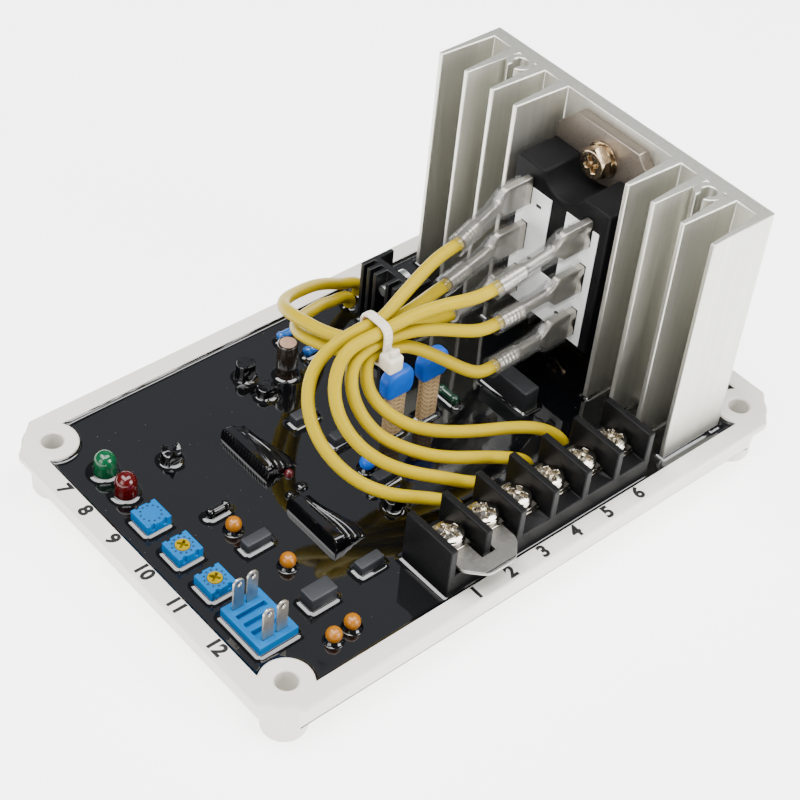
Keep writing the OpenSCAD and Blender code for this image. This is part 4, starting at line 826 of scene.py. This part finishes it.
# boxes by height of the middle, half sizes, rounding and its steps
boxSet = {"film": (14.1, (3.3, 1.4, 1.5), 0.4, 3), "grey": (14.7, (3.5, 2.1, 2.1), 0.35, 3),
          "dark": (15.8, (2.35, 7.3, 3.2), 0.5, 4)}


def boxAt(kind, x, y):
    z, *shape = boxSet[kind]
    return roundedBox((x, y, z), *shape)


addPiece("film_boxes", [boxAt("film", *at) for at in spots["films"]], "grey_film_case", "film_capacitors")
addPiece("grey_box", [boxAt("grey", *spots["greyBox"])], "grey_film_case", "box_capacitor")

# the can: radius and height pairs of its grooved sleeve and of its bare top
canSet = {"sleeve": [(2.3, 0), (2.5, 0.3), (2.5, 1.2), (2.3, 1.5), (2.3, 1.8), (2.5, 2.1), (2.5, 9.7),
                     (2.42, 10.0), (2.2, 10.2), (1.95, 10.15)],
          "top": [(1.95, 9.6), (1.95, 10.2), (0.01, 10.2)]}
canFoot = (*spots["can"], resinLevel)
addPiece("can_sleeve", [revolve(canSet["sleeve"], canFoot)], "shrunk_sleeve", "electrolytic_can")
addPiece("can_top", [revolve(canSet["top"], canFoot)], "coppery_top")

# transistors: rise and width up the body, and the height of each one and of its horns
flatSet = {"radius": 2.3, "flat": 1.6, "rise": array([0, 0.12, 0.3, 0.6, 0.85, 0.96, 1.0, 1.0]),
           "wide": array([1.35, 1.15, 1.02, 1.0, 1.0, 0.97, 0.9, 0.1]),
           "sizes": ((2.8, 1.5), (4.6, 0.12), (2.6, 0.2), (2.6, 0.3))}


def flatBacked(x, y, tall, horns, sides=40):
    # a round body cut flat on one side, wide at its foot where resin clings; horns lift three top corners
    k = flatSet
    turn = onceRound(sides)
    s, wide = k["rise"][:, None], k["wide"][:, None]
    px = k["radius"] * wide * cos(turn)
    py = maximum(k["radius"] * wide * sin(turn), -k["flat"] * wide)
    lift = horns * smoothStep(s, 0.5, 0.96) * maximum(cos(3 * turn - 0.5), 0) ** 2
    lift[-1] = 0
    return stack([x + px, y + py, resinLevel + s * tall + lift], -1), False, True, bothEnds


transistors = zip(spots["transistors"], flatSet["sizes"])
addPiece("coated_transistors", [flatBacked(*at, *size) for at, size in transistors], "resin_coated_black",
         "small_transistors")

# drops of resin that set on and between the parts, and a red one: x, y, radius and height
dropSet = {"low": 12.7, "red": (-31.0, 3.6, 1.1, 1.5),
           "black": ((-31.2, -1.1, 1.5, 1.1), (-34.9, -1.8, 1.2, 1.3), (-20.5, -12.6, 1.3, 0.9))}


def drop(x, y, r, tall):
    # half an egg: radius by the sine and height by the cosine
    t = linspace(0, pi / 2, 12)
    return revolve(stack([r * sin(t) + 0.01, tall * cos(t)], 1), (x, y, dropSet["low"]), count=28)


addPiece("resin_drops", [drop(*row) for row in dropSet["black"]], "resin_coated_black")
addPiece("red_drop", [drop(*dropSet["red"])], "red_lacquer")

# long blocks: their section by share of the way across; folds by place, phase, height and where they end;
# blocks by place, phase and depth of the pins
drapeSet = {
    "half": (3.2, 8.5), "tall": 3.6, "pin": 1.0, "low": 12.4, "edge": (12.6, 12.5),
    "across": ([0, 0.08, 0.2, 0.3, 0.45, 0.75, 1.0], [-1.1, -1.02, -0.98, -0.9, -0.2, 0.45, 1.1]),
    "height": ([0, 0.08, 0.2, 0.3, 0.42, 0.6, 0.8, 1.0], [-0.05, 0.3, 0.8, 1.0, 0.95, 0.6, 0.24, -0.05]),
    "folds": ((0.46, 0, 0.4, 0.5), (0.58, 0.5, 0.5, 0.2), (0.7, 0.9, 0.45, 0.4), (0.83, 1.2, 0.3, -0.1)),
    "blocks": ((-33, 13.2, 0.3, 0.13), (-34.4, -12.4, 1.7, 0.02))}


def drapedBlock(cx, cy, phase, comb, rows=140, cols=110):
    # a section of foot, steep wall, lip and hanging slope, carried along Y; pins scallop the wall, folds
    # ridge the slope, and the slope spreads towards its front end
    k = drapeSet
    hx, hy = k["half"]
    v = linspace(-1, 1, rows)[:, None]
    u = linspace(0, 1, cols)
    ends = np.sqrt(np.clip(1 - abs(v) ** 14, 0, 1))
    scallop = comb * abs(sin(pi * v * hy / k["pin"])) * exp(-((u - 0.16) / 0.1) ** 2)
    lean = 0.25 * sin(v * 2.1 + phase)
    fold = sum(tall * exp(-((u - at - 0.06 * sin(1.7 * v + (phase + turn))) / 0.03) ** 2)
               * (1 - smoothStep(v, end, end + 0.5)) for at, turn, tall, end in k["folds"])
    spread = 0.75 * smoothStep(u, 0.4, 1.0) * smoothStep(-v, -0.7, 0.7)
    x = cx + hx * (np.interp(u, *k["across"]) + spread) - scallop + lean * smoothStep(u, 0.4, 0.7)
    y = cy + hy * v + 0 * x
    z = resinLevel + k["tall"] * np.interp(u, *k["height"]) * (0.35 + 0.65 * ends) + fold * ends
    z = maximum(z * (ends > 0.02) + k["edge"][0] * (ends <= 0.02), k["edge"][1])
    top = stack([x, y, z], -1)
    low = np.where(array([0, 0, 1]), k["low"], top)
    return concatenate([top, low[:, ::-1]], 1), False, True, bothEnds


addPiece("draped_blocks", [drapedBlock(*row) for row in drapeSet["blocks"]], "resin_coated_black",
         "coated_blocks")

# lying parts: length, radius, how much slimmer the waist is, and where the legs stand
lyingSet = {"diode": (6, 1.15, 0.25, 2.3), "resistor": (6.4, 1.3, 0.18, 2.6), "gap": 0.3, "legZ": 13.4,
            "legHalf": (0.4, 0.4, 0.9)}


def lyingParts(kind, places, along=(1, 0, 0)):
    # bodies turned about their length, with thick ends and a slimmer waist, each on two legs
    k = lyingSet
    length, radius, waist, leg = k[kind]
    s = linspace(-1, 1, 25)
    r = radius * (1 - waist * (1 - smoothStep(abs(s), 0.45, 0.7)))
    profile = stack([r * np.sqrt(np.clip(1 - abs(s) ** 10, 0.001, 1)), s * length / 2], 1)
    axes = (-along[1], along[0], 0), (0, 0, 1), along
    bodies = [revolve(profile, (x, y, resinLevel + radius + k["gap"]), *axes, count=32) for x, y in places]
    legs = [(x + e * leg * along[0], y + e * leg * along[1], k["legZ"]) for x, y in places for e in bothSides]
    return bodies + [roundedBox(at, k["legHalf"], 0.3, 2) for at in legs]


addPiece("coated_diode", lyingParts("diode", [spots["diode"]]), "resin_coated_black", "diode")
addPiece("blue_bodies", lyingParts("resistor", spots["blueBodies"]), "blue_lacquer", "blue_resistors")
addPiece("green_body", lyingParts("resistor", [spots["greenBody"]], (0, 1, 0)), "green_lacquer",
         "green_resistor")

# discs on woven sleeves: sit is how far the flat foot lies below the disc's middle
discSet = {"radius": 4.5, "side": 4.1, "sit": 3.5, "half": 1.8}
sleeveSet = {"half": (2.8, 1.1), "low": 12.6, "top": 25.4, "flare": 0.06, "flareTall": 1.8, "square": 0.6}


def discOutline(turn):
    # a squarish round, the third root of the cubes of cosine and sine, cut flat where it sits on the sleeve
    k = discSet
    cube = abs(cos(turn)) ** 3 + abs(sin(turn)) ** 3
    foot = k["sit"] / maximum(-sin(turn), 0.5)
    return minimum(k["side"] / np.cbrt(cube), foot) / k["radius"]


def dippedDisc(x, y):
    # a flat disc with a rounded edge, turned about Y
    k = discSet
    t = linspace(0, pi, 41)
    r = k["radius"] * abs(sin(t)) ** 0.3 + 0.01
    h = k["half"] * signedPower(cos(t), 0.6)
    return revolve(stack([r, h], 1), (x, y, sleeveSet["top"] + k["sit"]), (1, 0, 0), (0, 0, 1), (0, -1, 0),
                   96, discOutline)


def wovenTube(x, y, rings=60, sides=48):
    # an oval braid that opens a little at its top
    k = sleeveSet
    z = linspace(k["low"], k["top"], rings)[:, None]
    flare = 1 + k["flare"] * smoothStep(z, k["top"] - k["flareTall"], k["top"])
    turn = onceRound(sides)
    px = k["half"][0] * flare * signedPower(cos(turn), k["square"])
    py = k["half"][1] * flare * signedPower(sin(turn), k["square"])
    return stack([x + px, y + py, z + 0 * px], -1), False, True, bothEnds


addPiece("dipped_discs", [dippedDisc(*at) for at in spots["discs"]], "blue_epoxy", "varistors")
addPiece("braided_sleeves", [wovenTube(*at) for at in spots["discs"]], "woven_glass_fibre", "woven_sleeves")
addPiece("dark_box", [boxAt("dark", *spots["darkBox"])], "dark_grey_plastic", "relay_box")
print("board components: done")

# print: numbers along the rim, and signs on the module's label by text, y and z
printSet = {"size": 4.5, "signSize": 5.0, "bold": 0.2, "flat": 0.2, "rimZ": 14.01, "frontY": -47.9,
            "leftX": -73.9, "labelX": 40.83,
            "signs": (("-", 6.0, 54.6), ("+", -5.0, 54.6), ("~", 5.4, 39.0), ("~", -5.4, 30.0))}


def printedMark(text, size):
    # a mark as a mesh, made bold by a bevel that stands out all round its outline
    curve = bpy.data.curves.new("mark", "FONT")
    curve.body, curve.size, curve.bevel_depth = text, size * mm, printSet["bold"] * mm
    curve.align_x, curve.align_y, curve.bevel_resolution = "CENTER", "CENTER", 0
    holder = bpy.data.objects.new("mark", curve)
    mesh = bpy.data.meshes.new_from_object(holder)
    bpy.data.objects.remove(holder)
    return mesh


def addMarks(name, marks, size, finish):
    # marks: text, middle, reading direction and upward direction
    bm = bmesh.new()
    for text, middle, across, up in marks:
        mesh = printedMark(text, size)
        basis = np.eye(4)
        basis[:3, :3] = stack([across, up, np.cross(across, up) * printSet["flat"]], 1)
        basis[:3, 3] = array(middle) * mm
        mesh.transform(Matrix(basis.tolist()))
        bm.from_mesh(mesh)
        bpy.data.meshes.remove(mesh)
    mesh = bpy.data.meshes.new(name)
    bmesh.ops.remove_doubles(bm, verts=bm.verts, dist=1e-7)
    bm.to_mesh(mesh)
    bm.free()
    dress(mesh, finish)
    return settle(bpy.data.objects.new(name, mesh))


leftY = [y for _, y in (*spots["lamps"], *spots["trimmers"], spots["selector"])]
rimPlaces = [((x, printSet["frontY"], printSet["rimZ"]), (1, 0, 0), (0, 1, 0)) for x in poleX]
rimPlaces += [((printSet["leftX"], y, printSet["rimZ"]), (0, -1, 0), (1, 0, 0)) for y in leftY]
rimMarks = [(str(i + 1), *row) for i, row in enumerate(rimPlaces)]
labelMarks = [(text, (printSet["labelX"], y, z), (0, -1, 0), (0, 0, 1)) for text, y, z in printSet["signs"]]
addMarks("rim_numbers", rimMarks, printSet["size"], "print_ink")
addMarks("label_signs", labelMarks, printSet["signSize"], "print_ink")
print("print:", len(rimMarks) + len(labelMarks), "marks")

# studio: two overhead boxes in an L, a front box, a box at the left and a dim panel behind that the resin
# mirrors; lights by watts, sides, place, target and tint
partMiddle, white = (0, 0, 0.02), (1, 1, 1)
studioSet = {"floor": ("#f6f6f5", "#f1f1f1"), "floorHalf": 3, "floorGlow": 2.5, "world": 0.13, "lights": {
    "overhead_long": (25.0, (0.5, 1.25), (-0.35, 0.225, 1.0), (-0.35, 0.225, 0), white),
    "overhead_short": (17.0, (0.95, 0.5), (0.4, -0.2, 1.0), (0.4, -0.2, 0), white),
    "front": (17.0, (0.6, 0.6), (0.45, -1.0, 0.5), partMiddle, white),
    "left": (8.0, (0.7, 0.7), (-1.0, -0.1, 0.5), partMiddle, white),
    "back_panel": (1.7, (1.1, 1.1), (0.95, 0.95, 0.95), partMiddle, (0.86, 0.9, 1.0))}}
h = studioSet["floorHalf"]
floorMesh = bpy.data.meshes.new("floor")
floorMesh.from_pydata([(-h, -h, 0), (h, -h, 0), (h, h, 0), (-h, h, 0)], [], [(0, 1, 2, 3)])
finishOf("pale_floor", *studioSet["floor"], 400, 0.7, 0.05, 20, 0.01,
         Emission_Strength=studioSet["floorGlow"])
dress(floorMesh, "pale_floor")
floor = bpy.data.objects.new("floor", floorMesh)
bpy.context.scene.collection.objects.link(floor)
world = bpy.context.scene.world or bpy.data.worlds.new("studio")
bpy.context.scene.world = world
world.use_nodes = True
sky = world.node_tree.nodes.get("Background") or world.node_tree.nodes.new("ShaderNodeBackground")
sky.inputs["Color"].default_value = (1, 1, 1, 1)
sky.inputs["Strength"].default_value = studioSet["world"]


def addLight(name, power, size, at, target, tint):
    # a rectangle that faces its target, with its first side level
    lamp = bpy.data.lights.new(name, "AREA")
    lamp.shape, lamp.color = "RECTANGLE", tint
    lamp.energy, lamp.size, lamp.size_y = power, *size
    aim = unit(array(target) - array(at))
    side = unit(np.cross(aim, (0, 0, 1.0) if abs(aim[2]) < 0.999 else (0, 1.0, 0)))
    setPose(bpy.data.objects.new(name, lamp), [side, np.cross(side, aim), -aim], at)


for name, row in studioSet["lights"].items():
    addLight(name, *row)
print("studio: floor, sky and", len(studioSet["lights"]), "lights")
